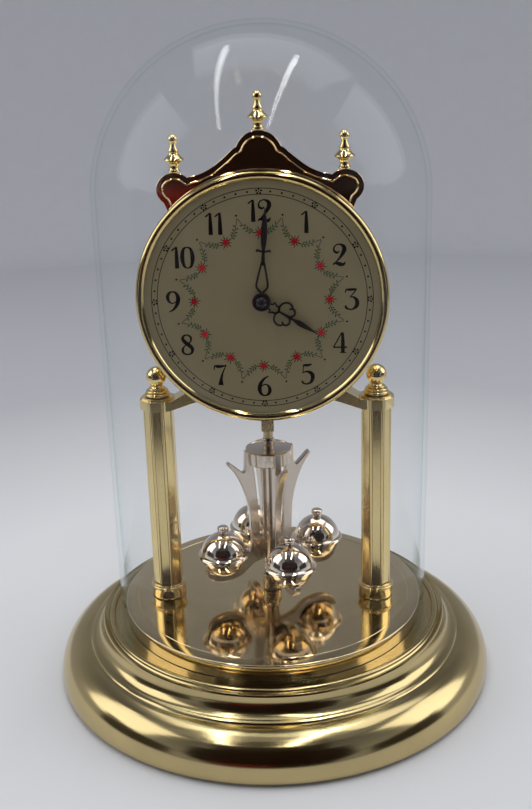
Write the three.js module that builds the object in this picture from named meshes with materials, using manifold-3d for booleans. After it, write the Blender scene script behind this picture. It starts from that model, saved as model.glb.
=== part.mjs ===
// Quartz anniversary clock: brass base, glass dome, two columns, round movement and a four-ball
// rotating pendulum. Millimetres, +Z up, the dial faces -Y, origin at the centre of the base's underside.
import * as THREE from "three";
import { mergeVertices } from "three/addons/utils/BufferGeometryUtils.js";
import Module from "manifold-3d";

const wasm = await Module();
wasm.setup();

// ---------------------------------------------------------------- driving dimensions
const GAP = 0.3; // clearance between pieces that touch on the real clock

const BASE_R = 100; // base radius
const LOWER_RIDGE = { r: 86.4, z: 19.1 }; // top edge of the big convex tier
const UPPER_RIDGE = { r: 79.4, z: 28.2 }; // top edge of the concave tier
const BASE_WALL = 1.5; // spun brass thickness
const BASE_FOOT_Z = 1.2; // the brass stops this far above the table
const LEDGE_Z = 28.3; // ledge that the dome stands on
const PLATE_R = 68.4; // raised plate inside the dome
const PLATE_Z = 35.5; // its polished top

const DOME_R = 70.7; // outside radius of the glass
const DOME_WALL = 1.8;
const DOME_SHOULDER_Z = 218; // where the straight glass turns into the domed top
const DOME_TOP_Z = 288;

const COLUMN_X = 48; // columns stand left and right of the axis
const COLUMN_Y = -5;
const COLUMN_R = 6.5; // across the corners of the flutes
const FOOT_HEIGHT = 6.8;
const COLLAR_Z = 127.1; // underside of the bracket's collars
const COLLAR_HEIGHT = 5.4;
const ROD_R = 2;
const BUSH_HALF = 2.7; // half width of the square suspension block
const BUSH_FOOT_Z = 114.3;
const PIN_R = 1.2; // suspension pin, and every bore round it is one gap wider

const DIAL_Z = 177; // height of the hands' axis
const DIAL_FRONT = 16; // dial face, measured forward from the pendulum axis
const DIAL_THICKNESS = 0.8;
const DIAL_R = 49.6;
const BEZEL_R = 53;
const CASE_R = 50;
const CASE_WALL = 1.2;
const CASE_BACK = -12; // rear rim of the case, measured forward like the dial face
const COVER_THICKNESS = 1.5;
const CREST_FRONT = 9.6; // front of the crest plate, measured the same way
const CREST_THICKNESS = 1.6;
const CREST_TOP_Z = 245.3; // top of the middle lobe
const CREST_SIDE_LOBE = { x: 35, z: 222.4, halfWidth: 7.6, halfHeight: 6.8 };
const FINIAL_X = 34.7; // the side finials stand this far from the middle one

const PENDULUM_TURN = 24; // degrees, rest position of the first arm from +X
const BALL_ORBIT = 23.2; // ball centres from the pendulum axis
const BALL_R = 10.4;
const BALL_Z = 57.7;
const RIM_R = 11.6;
const DRUM_R = 10.4;
const DRUM_TOP_Z = 106.3;
const DRUM_BOTTOM_Z = 99.4;
const BLADE = 3; // thickness of the leaf arms

const MINUTE_ANGLE = 3.8; // degrees clockwise from 12
const HOUR_ANGLE = 121.6;
const MINUTE_LENGTH = 39;
const HOUR_LENGTH = 27.4;
const HUB_R = 3.85;

// Motion work: the cannon pinion drives the minute wheel, whose pinion drives the hour wheel, 12 to 1.
const TRAIN_DISTANCE = 12;
const CANNON_TEETH = 12;
const MINUTE_WHEEL_TEETH = 36;
const MINUTE_PINION_TEETH = 10;
const HOUR_WHEEL_TEETH = 40;
const TRAIN_ANGLE = Math.PI / 4; // direction from the hands' axis to the minute wheel's arbor

// ---------------------------------------------------------------- materials
const metal = (color, roughness) => new THREE.MeshStandardMaterial({ color, roughness, metalness: 1 });
const plain = (color, roughness) => new THREE.MeshStandardMaterial({ color, roughness, metalness: 0 });
const brass = () => metal(0xd8b45c, 0.22);
const darkBrass = () => metal(0x8a6a3c, 0.35);
const champagne = () => metal(0xcfc2ae, 0.18);
const steel = () => metal(0xb9bbbd, 0.35);
const blackPaint = () => plain(0x14100e, 0.45);
const plastic = (color) => plain(color, 0.55);
const glass = () =>
  new THREE.MeshStandardMaterial({
    color: 0xe8f2ee,
    roughness: 0.02,
    metalness: 0,
    transparent: true,
    opacity: 0.3,
  });

// ---------------------------------------------------------------- solids
function toSolid(geometry) {
  const bare = geometry.clone();
  bare.deleteAttribute("normal");
  bare.deleteAttribute("uv");
  const merged = mergeVertices(bare, 1e-4);
  const mesh = new wasm.Mesh({
    numProp: 3,
    vertProperties: new Float32Array(merged.attributes.position.array),
    triVerts: outwardTriangles(merged),
  });
  return new wasm.Manifold(mesh);
}

// Triangle corners without the collapsed triangles, wound so that the volume is positive.
function outwardTriangles(geometry) {
  const index = geometry.index.array;
  const p = geometry.attributes.position.array;
  const kept = [];
  let volume = 0;
  for (let t = 0; t < index.length; t += 3) {
    const [a, b, c] = [index[t], index[t + 1], index[t + 2]];
    if (a === b || b === c || c === a) continue;
    kept.push(a, b, c);
    const [i, j, k] = [3 * a, 3 * b, 3 * c];
    volume += p[i] * (p[j + 1] * p[k + 2] - p[j + 2] * p[k + 1]);
    volume += p[i + 1] * (p[j + 2] * p[k] - p[j] * p[k + 2]);
    volume += p[i + 2] * (p[j] * p[k + 1] - p[j + 1] * p[k]);
  }
  if (volume < 0) {
    for (let t = 0; t < kept.length; t += 3) {
      [kept[t + 1], kept[t + 2]] = [kept[t + 2], kept[t + 1]];
    }
  }
  return new Uint32Array(kept);
}

function toGeometry(solid) {
  const mesh = solid.getMesh();
  const geometry = new THREE.BufferGeometry();
  const positions = new Float32Array(mesh.vertProperties.length);
  positions.set(mesh.vertProperties);
  geometry.setAttribute("position", new THREE.BufferAttribute(positions, 3));
  geometry.setIndex(new THREE.BufferAttribute(new Uint32Array(mesh.triVerts), 1));
  geometry.computeVertexNormals();
  return geometry;
}

// A turned solid about Z from [radius, height] points. A ring's outline closes on itself here.
function turned(points, segments = 32) {
  const outline = points.map(([r, z]) => new THREE.Vector2(r, z));
  const first = outline[0];
  const last = outline[outline.length - 1];
  if (first.x > 0 || last.x > 0) outline.push(first.clone());
  const geometry = new THREE.LatheGeometry(outline, segments);
  geometry.rotateX(Math.PI / 2);
  return toSolid(geometry);
}

// A flat outline in XY, extruded from z0 to z1.
function slab(outline, z0, z1) {
  const shape = outline instanceof THREE.Shape ? outline : shapeFrom(outline);
  const geometry = new THREE.ExtrudeGeometry(shape, { depth: z1 - z0, bevelEnabled: false });
  geometry.translate(0, 0, z0);
  return toSolid(geometry);
}

function shapeFrom(points) {
  return new THREE.Shape(points.map(([x, y]) => new THREE.Vector2(x, y)));
}

function box(x0, x1, y0, y1, z0, z1) {
  const geometry = new THREE.BoxGeometry(x1 - x0, y1 - y0, z1 - z0);
  geometry.translate((x0 + x1) / 2, (y0 + y1) / 2, (z0 + z1) / 2);
  return toSolid(geometry);
}

// A round bar along Z.
function bar(r, z0, z1, segments = 16, x = 0, y = 0) {
  const geometry = new THREE.CylinderGeometry(r, r, z1 - z0, segments);
  geometry.rotateX(Math.PI / 2);
  geometry.translate(x, y, (z0 + z1) / 2);
  return toSolid(geometry);
}

// Points on an arc, both ends included, angles in degrees.
function arc(cx, cy, rx, ry, from, to, steps) {
  return Array.from({ length: steps + 1 }, (_, i) => {
    const a = THREE.MathUtils.degToRad(from + ((to - from) * i) / steps);
    return [cx + rx * Math.cos(a), cy + ry * Math.sin(a)];
  });
}

// Points on a smooth curve through the given points.
function smooth(points, steps) {
  const curve = new THREE.SplineCurve(points.map(([x, y]) => new THREE.Vector2(x, y)));
  return curve.getPoints(steps).map((p) => [p.x, p.y]);
}

function part(name, solid, material, place = {}) {
  const mesh = new THREE.Mesh(toGeometry(solid), material);
  mesh.name = name;
  const { x = 0, y = 0, z = 0, turn = 0 } = place;
  mesh.position.set(x, y, z);
  mesh.rotation.z = turn;
  return mesh;
}

function group(...children) {
  return new THREE.Group().add(...children);
}

// ---------------------------------------------------------------- base
// The brass section from its foot over both tiers to the ledge, then back along the inside.
function baseSection() {
  const { r: lowR, z: lowZ } = LOWER_RIDGE;
  const { r: upR, z: upZ } = UPPER_RIDGE;
  const tierFoot = 4; // the convex tier starts upright here
  const coveR = lowR - 1.8;
  const webBottom = LEDGE_Z - BASE_WALL;
  const convexWidth = BASE_R - lowR;
  const convexHeight = lowZ - tierFoot;
  return [
    [0, webBottom],
    [upR - BASE_WALL - 0.5, webBottom],
    [coveR - BASE_WALL - 1.8, lowZ],
    ...arc(lowR, tierFoot, convexWidth - BASE_WALL, convexHeight - BASE_WALL, 90, 0, 3),
    [BASE_R - BASE_WALL - 1.4, BASE_FOOT_Z],
    [BASE_R - 1.4, BASE_FOOT_Z],
    [BASE_R, BASE_FOOT_Z + 1.4],
    ...arc(lowR, tierFoot, convexWidth, convexHeight, 0, 90, 5),
    [lowR - 1, lowZ + 0.5],
    ...arc(coveR, upZ, coveR - upR, upZ - lowZ - 1.8, 262, 180, 3),
    [upR - 2.1, upZ + 0.6],
    [upR - 4.1, upZ + 1.3],
    [DOME_R + 2.5, LEDGE_Z],
    [0, LEDGE_Z],
  ];
}

function baseShell() {
  let shell = turned(baseSection(), 40);
  for (const side of [-1, 1]) {
    shell = shell.subtract(bar(ROD_R + GAP, 0, 40, 12, side * COLUMN_X, COLUMN_Y));
  }
  return part("base_shell", shell, brass());
}

function mirrorPlate() {
  const wall = 1.4;
  const bottom = LEDGE_Z + GAP;
  let plate = turned(
    [
      [0, PLATE_Z],
      [PLATE_R - 0.6, PLATE_Z],
      [PLATE_R, PLATE_Z - 0.6],
      [PLATE_R, bottom],
      [PLATE_R - wall, bottom],
      [PLATE_R - wall, PLATE_Z - wall],
      [0, PLATE_Z - wall],
    ],
    40,
  );
  for (const side of [-1, 1]) {
    plate = plate.subtract(bar(ROD_R + GAP, 20, 40, 12, side * COLUMN_X, COLUMN_Y));
  }
  return part("mirror_plate", plate, metal(0xb9a878, 0.08));
}

function disc(r, z0, z1, segments) {
  return turned([[0, z0], [r, z0], [r, z1], [0, z1]], segments);
}

function baseUnderside() {
  const r = BASE_R - 1.4 - BASE_WALL - GAP;
  const feltTop = 1.7;
  const boardTop = 3.8;
  return group(
    part("felt_pad", disc(r, 0, feltTop, 32), plain(0x2a1a1c, 0.95)),
    part("bottom_cover", disc(r, feltTop + GAP, boardTop, 32), plain(0x3b2a20, 0.8)),
  );
}

// Turned cup on the plate. The pendulum's stem turns in its bore and can't swing sideways.
function guideCup() {
  const height = 7.2;
  const boreR = 3.1;
  const floor = 1.6;
  const cup = turned(
    [
      [0, 0],
      [3.9, 0],
      [4.3, 0.8],
      [4.3, height - 0.8],
      [3.8, height],
      [boreR, height],
      [boreR, floor],
      [0, floor],
    ],
    20,
  );
  return part("guide_cup", cup, darkBrass(), { z: PLATE_Z + GAP });
}

// ---------------------------------------------------------------- dome
function dome() {
  const foot = LEDGE_Z + GAP;
  const rise = DOME_TOP_Z - DOME_SHOULDER_Z;
  const lip = 0.5; // fire-polished edge
  const shell = (wall, bottom) => {
    const cap = arc(0, DOME_SHOULDER_Z, DOME_R - wall, rise - wall, 0, 90, 7).slice(0, -1);
    return turned([...bottom, ...cap, [0, DOME_TOP_Z - wall]], 36);
  };
  const outer = shell(0, [[0, foot], [DOME_R - lip, foot], [DOME_R, foot + lip]]);
  const inner = shell(DOME_WALL, [[0, foot - 1], [DOME_R - DOME_WALL, foot - 1]]);
  return part("glass_dome", outer.subtract(inner), glass());
}

// ---------------------------------------------------------------- columns
// Eight broad facets with a narrow strip between neighbours.
function facetedOutline(r) {
  const strip = 5.5; // degrees to each side of a corner
  const points = [];
  for (let i = 0; i < 8; i++) {
    for (const side of [-strip, strip]) {
      const a = THREE.MathUtils.degToRad(22.5 + 45 * i + side);
      points.push([r * Math.cos(a), r * Math.sin(a)]);
    }
  }
  return points;
}

function column(name, x) {
  const bottom = PLATE_Z + GAP + FOOT_HEIGHT + GAP;
  const length = COLLAR_Z - GAP - bottom;
  const shaft = slab(facetedOutline(COLUMN_R + 0.4), 0, length).subtract(bar(ROD_R + 1.5, -1, length + 1));
  return part(name, shaft, brass(), { x, y: COLUMN_Y, z: bottom });
}

function columnFoot(name, x) {
  const boreR = ROD_R + GAP;
  const foot = turned(
    [
      [boreR, 0],
      [7.5, 0],
      [8.2, 1.4],
      [8.2, 2.8],
      [7.2, 3.7],
      [7.2, 4.8],
      [7.8, 5.4],
      [7.3, FOOT_HEIGHT],
      [boreR, FOOT_HEIGHT],
    ],
    16,
  );
  return part(name, foot, brass(), { x, y: COLUMN_Y, z: PLATE_Z + GAP });
}

// Turned cap: two rings, a neck and a ball. The tie rod screws into its underside.
function columnCap(name, x) {
  const ballR = 4.35;
  const ballZ = 9.2;
  const cap = turned(
    [
      [0, 0],
      [4.9, 0],
      [5.35, 0.6],
      [4.9, 1.2],
      [5.85, 2],
      [5.2, 2.8],
      [2.9, 3.6],
      ...arc(0, ballZ, ballR, ballR, -50, 90, 6).slice(0, -1),
      [0, ballZ + ballR],
    ],
    12,
  ).subtract(bar(ROD_R + GAP, -1, 3, 12));
  return part(name, cap, brass(), { x, y: COLUMN_Y, z: COLLAR_Z + COLLAR_HEIGHT + GAP });
}

function tieRod(name, x) {
  const bottom = LEDGE_Z - BASE_WALL - 6;
  const top = COLLAR_Z + COLLAR_HEIGHT + 2.6;
  return part(name, bar(ROD_R, bottom, top, 10), steel(), { x, y: COLUMN_Y });
}

function tieRodNut(name, x) {
  const height = 3.2;
  const nut = bar(4, 0, height, 6).subtract(bar(ROD_R + GAP, -1, 5, 12));
  return part(name, nut, steel(), { x, y: COLUMN_Y, z: LEDGE_Z - BASE_WALL - GAP - height });
}

function columnSet(side, x) {
  return group(
    column(`column_${side}`, x),
    columnFoot(`column_foot_${side}`, x),
    columnCap(`column_cap_${side}`, x),
    tieRod(`tie_rod_${side}`, x),
    tieRodNut(`tie_rod_nut_${side}`, x),
  );
}

// ---------------------------------------------------------------- clock head
// Pieces from here to the pendulum are drawn as the dial is seen: x right, y up and z towards the
// viewer, with the hands' axis at x = y = 0 and the pendulum's axis at x = z = 0.
const upright = (solid) => solid.rotate([-90, 0, 0]); // from along z to along y
const COLLAR_Y = COLLAR_Z - DIAL_Z;
const COLUMN_FORWARD = -COLUMN_Y;
const BRACKET_SCREW = { x: 12, z: -7 };
const SADDLE_R = 54;

// One arm is the overlap of its front view and its plan.
function bracketArm(side) {
  const frontView = [
    [49, 0],
    [42.5, 0],
    [24, 5.9],
    [18, 12],
    [24, 14.5],
    [41, 4.6],
    [49, 4.6],
  ].map(([x, y]) => [side * x, COLLAR_Y + y]);
  const plan = [
    [18, 9.5],
    [29, 10.6],
    [41, 11.6],
    [49, 11.6],
    [49, -0.6],
    [40, -0.6],
    [29, -5],
    [18, -8],
  ].map(([x, z]) => [side * x, z]);
  return slab(frontView, -20, 20).intersect(slab(plan, -70, 70).rotate([90, 0, 0]));
}

function bracket() {
  const saddle = bar(SADDLE_R, -11, 6, 48).intersect(box(-28, 28, -SADDLE_R - 1, -38, -20, 20));
  let solid = saddle.add(bracketArm(-1)).add(bracketArm(1));
  for (const side of [-1, 1]) {
    const collar = slab(facetedOutline(COLUMN_R + 1.5), 0, COLLAR_HEIGHT - 0.8)
      .add(slab(facetedOutline(COLUMN_R + 0.6), COLLAR_HEIGHT - 1, COLLAR_HEIGHT));
    const place = (s, y) => upright(s).translate([side * COLUMN_X, y, COLUMN_FORWARD]);
    solid = solid.add(place(collar, COLLAR_Y)).subtract(place(bar(ROD_R + GAP, -90, 90, 12), 0));
  }
  solid = solid.subtract(bar(CASE_R + GAP + 0.1, -40, 40, 48)).subtract(suspensionHole());
  for (const side of [-1, 1]) {
    solid = solid.subtract(bracketScrewHole(side));
  }
  return part("movement_bracket", solid, brass());
}

function suspensionHole() {
  return upright(bar(BUSH_HALF * Math.SQRT2 + GAP, -60, -40, 16));
}

function bracketScrewHole(side) {
  return upright(bar(1.3, -60, -40, 10)).translate([side * BRACKET_SCREW.x, 0, BRACKET_SCREW.z]);
}

function bracketScrew(name, side) {
  const headTop = -53.5;
  const screw = bar(2.3, headTop - 1.6, headTop, 12).add(bar(1, headTop - 0.2, -46.8, 8));
  return part(name, upright(screw).translate([side * BRACKET_SCREW.x, 0, BRACKET_SCREW.z]), steel());
}

const CASE_FRONT = DIAL_FRONT - DIAL_THICKNESS - GAP;
const COVER_BACK = CASE_BACK - GAP - COVER_THICKNESS;
const COVER_SCREW_X = 43.5;

function caseDrum() {
  const innerR = CASE_R - CASE_WALL;
  let drum = turned(
    [[CASE_R, CASE_BACK], [CASE_R, CASE_FRONT], [innerR, CASE_FRONT], [innerR, CASE_BACK]],
    48,
  );
  for (const side of [-1, 1]) {
    const [near, far] = [side * 39.5, side * 49];
    const lug = box(Math.min(near, far), Math.max(near, far), -4, 4, CASE_BACK + 0.5, CASE_BACK + 8);
    const hole = bar(1.3, CASE_BACK, CASE_BACK + 7, 10, side * COVER_SCREW_X);
    drum = drum.add(lug).subtract(hole).subtract(bracketScrewHole(side));
  }
  return part("case_drum", drum.subtract(suspensionHole()), brass());
}

// Battery door opening and its hinge line, low on the rear cover.
const DOOR = { halfWidth: 26.7, top: -11.8, hingeY: -26.2, hingeZ: COVER_BACK - 0.2, barrelR: 1 };

function rearCover() {
  const opening = box(
    -DOOR.halfWidth - GAP,
    DOOR.halfWidth + GAP,
    DOOR.hingeY - DOOR.barrelR - GAP,
    DOOR.top + GAP,
    COVER_BACK - 5,
    CASE_BACK + 5,
  );
  let cover = disc(CASE_R, COVER_BACK, CASE_BACK - GAP, 48).subtract(opening);
  for (const side of [-1, 1]) {
    const earX = DOOR.halfWidth + GAP + 0.1;
    const ear = upright(box(0, 2, -1.6, 1.6, -1.5, 1.7)).translate([earX, DOOR.hingeY, DOOR.hingeZ]);
    cover = cover.add(side > 0 ? ear : ear.mirror([1, 0, 0]));
    cover = cover.subtract(bar(1.3, -30, 0, 10, side * COVER_SCREW_X));
  }
  const pinHole = bar(1, -29.6, 29.6, 10).rotate([0, 90, 0]).translate([0, DOOR.hingeY, DOOR.hingeZ]);
  const arborHole = bar(2, -30, 0, 12, TRAIN_X, TRAIN_Y);
  return part("rear_cover", cover.subtract(pinHole).subtract(arborHole), brass());
}

function rearCoverScrew(name, side) {
  const headTop = COVER_BACK - GAP;
  const screw = bar(2.4, headTop - 1.4, headTop, 12).add(bar(1, headTop - 0.2, CASE_BACK + 6, 8));
  return part(name, screw.translate([side * COVER_SCREW_X, 0, 0]), steel());
}

function batteryDoor() {
  const panel = box(-DOOR.halfWidth, DOOR.halfWidth, DOOR.hingeY, DOOR.top, COVER_BACK, CASE_BACK - GAP);
  const barrel = bar(DOOR.barrelR, -DOOR.halfWidth, DOOR.halfWidth, 12);
  const pins = bar(0.7, -28.6, 28.6, 10);
  const hinge = barrel.add(pins).rotate([0, 90, 0]).translate([0, DOOR.hingeY, DOOR.hingeZ]);
  const fingerNotch = bar(3, COVER_BACK - 1, COVER_BACK + 0.7, 12, 0, DOOR.top);
  return part("battery_door", panel.add(hinge).subtract(fingerNotch), brass());
}

function bezel() {
  const skirtR = CASE_R + GAP;
  const lipR = DIAL_R - 0.3;
  const front = DIAL_FRONT + GAP;
  const section = [
    [skirtR, CASE_FRONT - 2.6],
    [BEZEL_R, CASE_FRONT - 2.6],
    [BEZEL_R, front - 0.2],
    [BEZEL_R - 1.2, front + 1.3],
    [lipR + 0.8, front + 1],
    [lipR, front],
    [skirtR, front],
  ];
  return part("bezel", turned(section, 48), brass());
}

function dialPlate() {
  const dial = disc(DIAL_R, DIAL_FRONT - DIAL_THICKNESS, DIAL_FRONT, 48).subtract(bar(NUT_BORE, 0, 30, 16));
  return part("dial_plate", dial, metal(0xb5ab98, 0.5));
}

// Stamped pediment: two side lobes, an ogee on each side and a round middle lobe.
function crest() {
  const y = (z) => z - DIAL_Z;
  const lobe = CREST_SIDE_LOBE;
  const rightHalf = [
    [0, y(CREST_TOP_Z)],
    ...arc(0, y(CREST_TOP_Z) - 10.6, 10.6, 10.6, 78, 34, 3),
    ...smooth([[10.6, y(238)], [15, y(234.3)], [21.5, y(229.8)], [28, y(227.6)]], 6).slice(1, -1),
    ...arc(lobe.x, y(lobe.z), lobe.halfWidth, lobe.halfHeight, 134, -50, 9),
    [34, y(208)],
    [0, y(208)],
  ];
  const leftHalf = rightHalf.slice(1, -1).map(([x, h]) => [-x, h]).reverse();
  const outline = slab([...rightHalf, ...leftHalf], CREST_FRONT - CREST_THICKNESS, CREST_FRONT);
  return part("crest", outline.subtract(bar(CASE_R + GAP + 0.1, -40, 40, 48)), brass());
}

// Turned finial standing on the crest's edge, from its foot flange to the small ball.
function finial(name, x, foot) {
  const solid = turned(
    [
      [0, 0],
      [2.6, 0],
      [2.3, 0.8],
      [1.85, 1.7],
      [2.5, 3.6],
      [4.2, 4.8],
      [3.4, 6],
      [2, 7.5],
      [2.1, 8.5],
      [1.15, 10.9],
      ...arc(0, 13, 2.05, 2.05, -56, 90, 4).slice(0, -1),
      [0, 15.05],
    ],
    10,
  );
  return part(name, solid, brass(), { x, y: CREST_THICKNESS / 2 - CREST_FRONT, z: foot + GAP });
}

function finials() {
  const lobe = CREST_SIDE_LOBE;
  const sideFoot = lobe.z + lobe.halfHeight;
  return group(
    finial("finial_left", -FINIAL_X, sideFoot),
    finial("finial_middle", 0, CREST_TOP_Z),
    finial("finial_right", FINIAL_X, sideFoot),
  );
}

// ---------------------------------------------------------------- hands
const ARBOR_R = 1.05; // minute arbor
const HOUR_TUBE_R = 1.95;
const BUSH_R = 2.8; // threaded bush round the hour tube
const NUT_BORE = BUSH_R + GAP;
const HAND_THICKNESS = 0.5;
const HOUR_HAND_Z = DIAL_FRONT + 1.6;
const MINUTE_HAND_Z = HOUR_HAND_Z + 1.3;

function ring(cx, cy, outerR, innerR, segments = 10) {
  return bar(outerR, 0, HAND_THICKNESS, segments, cx, cy).subtract(bar(innerR, -1, 2, segments, cx, cy));
}

function strip(points) {
  return slab(points, 0, HAND_THICKNESS);
}

function hand(name, solid, boreR, z, angle) {
  const pierced = solid.subtract(bar(boreR, -1, 2, 16));
  const turn = -THREE.MathUtils.degToRad(angle);
  return part(name, pierced, blackPaint(), { z, turn });
}

function minuteHand() {
  const tip = MINUTE_LENGTH;
  const solid = bar(HUB_R, 0, HAND_THICKNESS, 20)
    .add(strip([[-0.7, 2], [0.7, 2], [0.6, 7], [-0.6, 7]]))
    .add(ring(0, 9, 2.7, 1.7))
    .add(strip([[-0.7, 11], [0.7, 11], [0.45, 18], [-0.45, 18]]))
    .add(strip([[-2, 17.6], [2, 17.6], [2, 18.5], [-2, 18.5]]))
    .add(strip([[-0.5, 18], [0.5, 18], [1.5, 24], [0.9, 32], [0, tip], [-0.9, 32], [-1.5, 24]]));
  return hand("minute_hand", solid, ARBOR_R + GAP, MINUTE_HAND_Z, MINUTE_ANGLE);
}

function hourHand() {
  const tip = HOUR_LENGTH;
  const solid = bar(HUB_R, 0, HAND_THICKNESS, 20)
    .add(strip([[-0.8, 2], [0.8, 2], [0.8, 9], [-0.8, 9]]))
    .add(ring(-2.1, 10, 2.4, 1.3))
    .add(ring(2.1, 10, 2.4, 1.3))
    .add(ring(0, 13.4, 2.4, 1.3))
    .add(strip([[-0.8, 15], [0.8, 15], [0.8, 19], [2, 21], [0, tip], [-2, 21], [-0.8, 19]]));
  return hand("hour_hand", solid, HOUR_TUBE_R + GAP, HOUR_HAND_Z, HOUR_ANGLE);
}

function handCap() {
  const foot = MINUTE_HAND_Z + HAND_THICKNESS + GAP;
  const boreR = ARBOR_R + GAP;
  const cap = turned([[0, 1.9], [1.4, 1.7], [2.2, 0.9], [2.2, 0], [boreR, 0], [boreR, 0.8], [0, 0.8]], 16);
  return part("hand_cap", cap, blackPaint(), { z: foot });
}

// ---------------------------------------------------------------- movement
const TRAIN_X = TRAIN_DISTANCE * Math.cos(TRAIN_ANGLE);
const TRAIN_Y = TRAIN_DISTANCE * Math.sin(TRAIN_ANGLE);
const MOVEMENT_HALF = 28; // half the square movement's side
const HOUSING = { back: -6, front: 10.2, wall: 1.5 };
const PLATE_BACK = HOUSING.front + GAP;
const PLATE_FRONT = PLATE_BACK + COVER_THICKNESS;
const CENTRE_WHEEL_TEETH = 36;
const MOTOR_PINION_TEETH = 8;
const MOTOR_MODULE = 0.5;
const MOTOR_DISTANCE = (MOTOR_MODULE * (CENTRE_WHEEL_TEETH + MOTOR_PINION_TEETH)) / 2;
const CENTRE_WHEEL_Z = -1.5;
const ARBOR_PIVOT_R = 0.8;
const BATTERY = { r: 7, y: -19.3, z: 1.2 };

// Straight-sided teeth, thinned for backlash. A tooth points along +x at angle 0.
function gear(teeth, pitchR, z0, z1, boreR, phase = 0) {
  const module = (2 * pitchR) / teeth;
  const rootR = pitchR - 1.15 * module;
  const tipR = pitchR + 0.85 * module;
  const step = (2 * Math.PI) / teeth;
  const outline = [];
  for (let i = 0; i < teeth; i++) {
    for (const [share, r] of [[-0.3, rootR], [-0.11, tipR], [0.11, tipR], [0.3, rootR]]) {
      const a = phase + step * (i + share);
      outline.push([r * Math.cos(a), r * Math.sin(a)]);
    }
  }
  const wheel = slab(outline, z0, z1);
  return boreR > 0 ? wheel.subtract(bar(boreR, z0 - 1, z1 + 1, 12)) : wheel;
}

// Phase that puts a gap of the second wheel opposite a tooth of the first, which points along `angle`.
function meshingPhase(teeth, angle) {
  return angle + Math.PI + Math.PI / teeth;
}

function pitch(teeth, otherTeeth, distance) {
  return (distance * teeth) / (teeth + otherTeeth);
}

function minuteArbor() {
  const pinionR = pitch(CANNON_TEETH, MINUTE_WHEEL_TEETH, TRAIN_DISTANCE);
  const arbor = bar(ARBOR_R, HOUSING.back + 0.5, MINUTE_HAND_Z + HAND_THICKNESS + GAP + 0.4, 12)
    .add(gear(CANNON_TEETH, pinionR, 1, 4, 0, TRAIN_ANGLE));
  return part("minute_arbor", arbor, steel());
}

function centreWheel() {
  const r = (MOTOR_MODULE * CENTRE_WHEEL_TEETH) / 2;
  const wheel = gear(CENTRE_WHEEL_TEETH, r, CENTRE_WHEEL_Z, CENTRE_WHEEL_Z + 0.8, ARBOR_R + GAP);
  return part("centre_wheel", wheel, plastic(0xf2efe6));
}

function minuteWheel() {
  const wheelR = pitch(MINUTE_WHEEL_TEETH, CANNON_TEETH, TRAIN_DISTANCE);
  const pinionR = pitch(MINUTE_PINION_TEETH, HOUR_WHEEL_TEETH, TRAIN_DISTANCE);
  const wheel = gear(MINUTE_WHEEL_TEETH, wheelR, 1.8, 3, 0, meshingPhase(MINUTE_WHEEL_TEETH, TRAIN_ANGLE))
    .add(bar(1.6, 2.8, 4.5, 12))
    .add(gear(MINUTE_PINION_TEETH, pinionR, 4.4, 6.8, 0, TRAIN_ANGLE + Math.PI))
    .add(bar(ARBOR_PIVOT_R, COVER_BACK - 4, PLATE_FRONT - 0.5, 10));
  return part("minute_wheel", wheel, plastic(0xf2efe6), { x: TRAIN_X, y: TRAIN_Y });
}

function hourWheel() {
  const boreR = ARBOR_R + GAP;
  const wheelR = pitch(HOUR_WHEEL_TEETH, MINUTE_PINION_TEETH, TRAIN_DISTANCE);
  const phase = TRAIN_ANGLE + Math.PI / HOUR_WHEEL_TEETH;
  const wheel = gear(HOUR_WHEEL_TEETH, wheelR, 5, 6.2, 0, phase)
    .add(bar(HOUR_TUBE_R, 5, HOUR_HAND_Z + HAND_THICKNESS + GAP, 14))
    .subtract(bar(boreR, 0, 30, 12));
  return part("hour_wheel", wheel, plastic(0xf2efe6));
}

function setKnob() {
  const front = COVER_BACK - 0.6;
  const rib = 0.25;
  const outline = [];
  for (let i = 0; i < 32; i++) {
    const r = 5 + (i % 2 ? rib : -rib);
    const a = (i * Math.PI) / 16;
    outline.push([r * Math.cos(a), r * Math.sin(a)]);
  }
  const bore = bar(ARBOR_PIVOT_R + GAP, front - 3.8, front + 1, 10);
  const knob = slab(outline, front - 4.6, front).subtract(bore);
  return part("set_knob", knob, plastic(0x2b2b2b), { x: TRAIN_X, y: TRAIN_Y });
}

function movementFront() {
  const half = MOVEMENT_HALF;
  const plate = box(-half, half, -half, half, PLATE_BACK, PLATE_FRONT)
    .add(bar(BUSH_R, PLATE_FRONT - 0.5, HOUR_HAND_Z - GAP, 16))
    .subtract(bar(HOUR_TUBE_R + GAP, 0, 30, 16))
    .subtract(bar(ARBOR_PIVOT_R + GAP, 0, 30, 10, TRAIN_X, TRAIN_Y));
  return part("movement_front", plate, plastic(0x2b2b2b));
}

function dialNut() {
  const nut = bar(HUB_R - 0.1, DIAL_FRONT + GAP, DIAL_FRONT + 1.2, 16).subtract(bar(NUT_BORE, 0, 30, 16));
  return part("dial_nut", nut, brass());
}

function movementHousing() {
  const half = MOVEMENT_HALF;
  const inner = half - HOUSING.wall;
  const { back, front, wall } = HOUSING;
  const bayTop = BATTERY.y + BATTERY.r + GAP;
  const body = box(-half, half, -half, half, back, front)
    .subtract(box(-inner, inner, bayTop + 1.2, inner, back + wall, front + 1))
    .subtract(box(-inner, inner, -inner, bayTop, back - 1, front + 1))
    .subtract(bar(ARBOR_R + GAP, back - 1, back + wall + 1, 12))
    .subtract(bar(ARBOR_PIVOT_R + GAP, back - 1, back + wall + 1, 10, TRAIN_X, TRAIN_Y));
  return part("movement_housing", body, plastic(0x2b2b2b));
}

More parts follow.
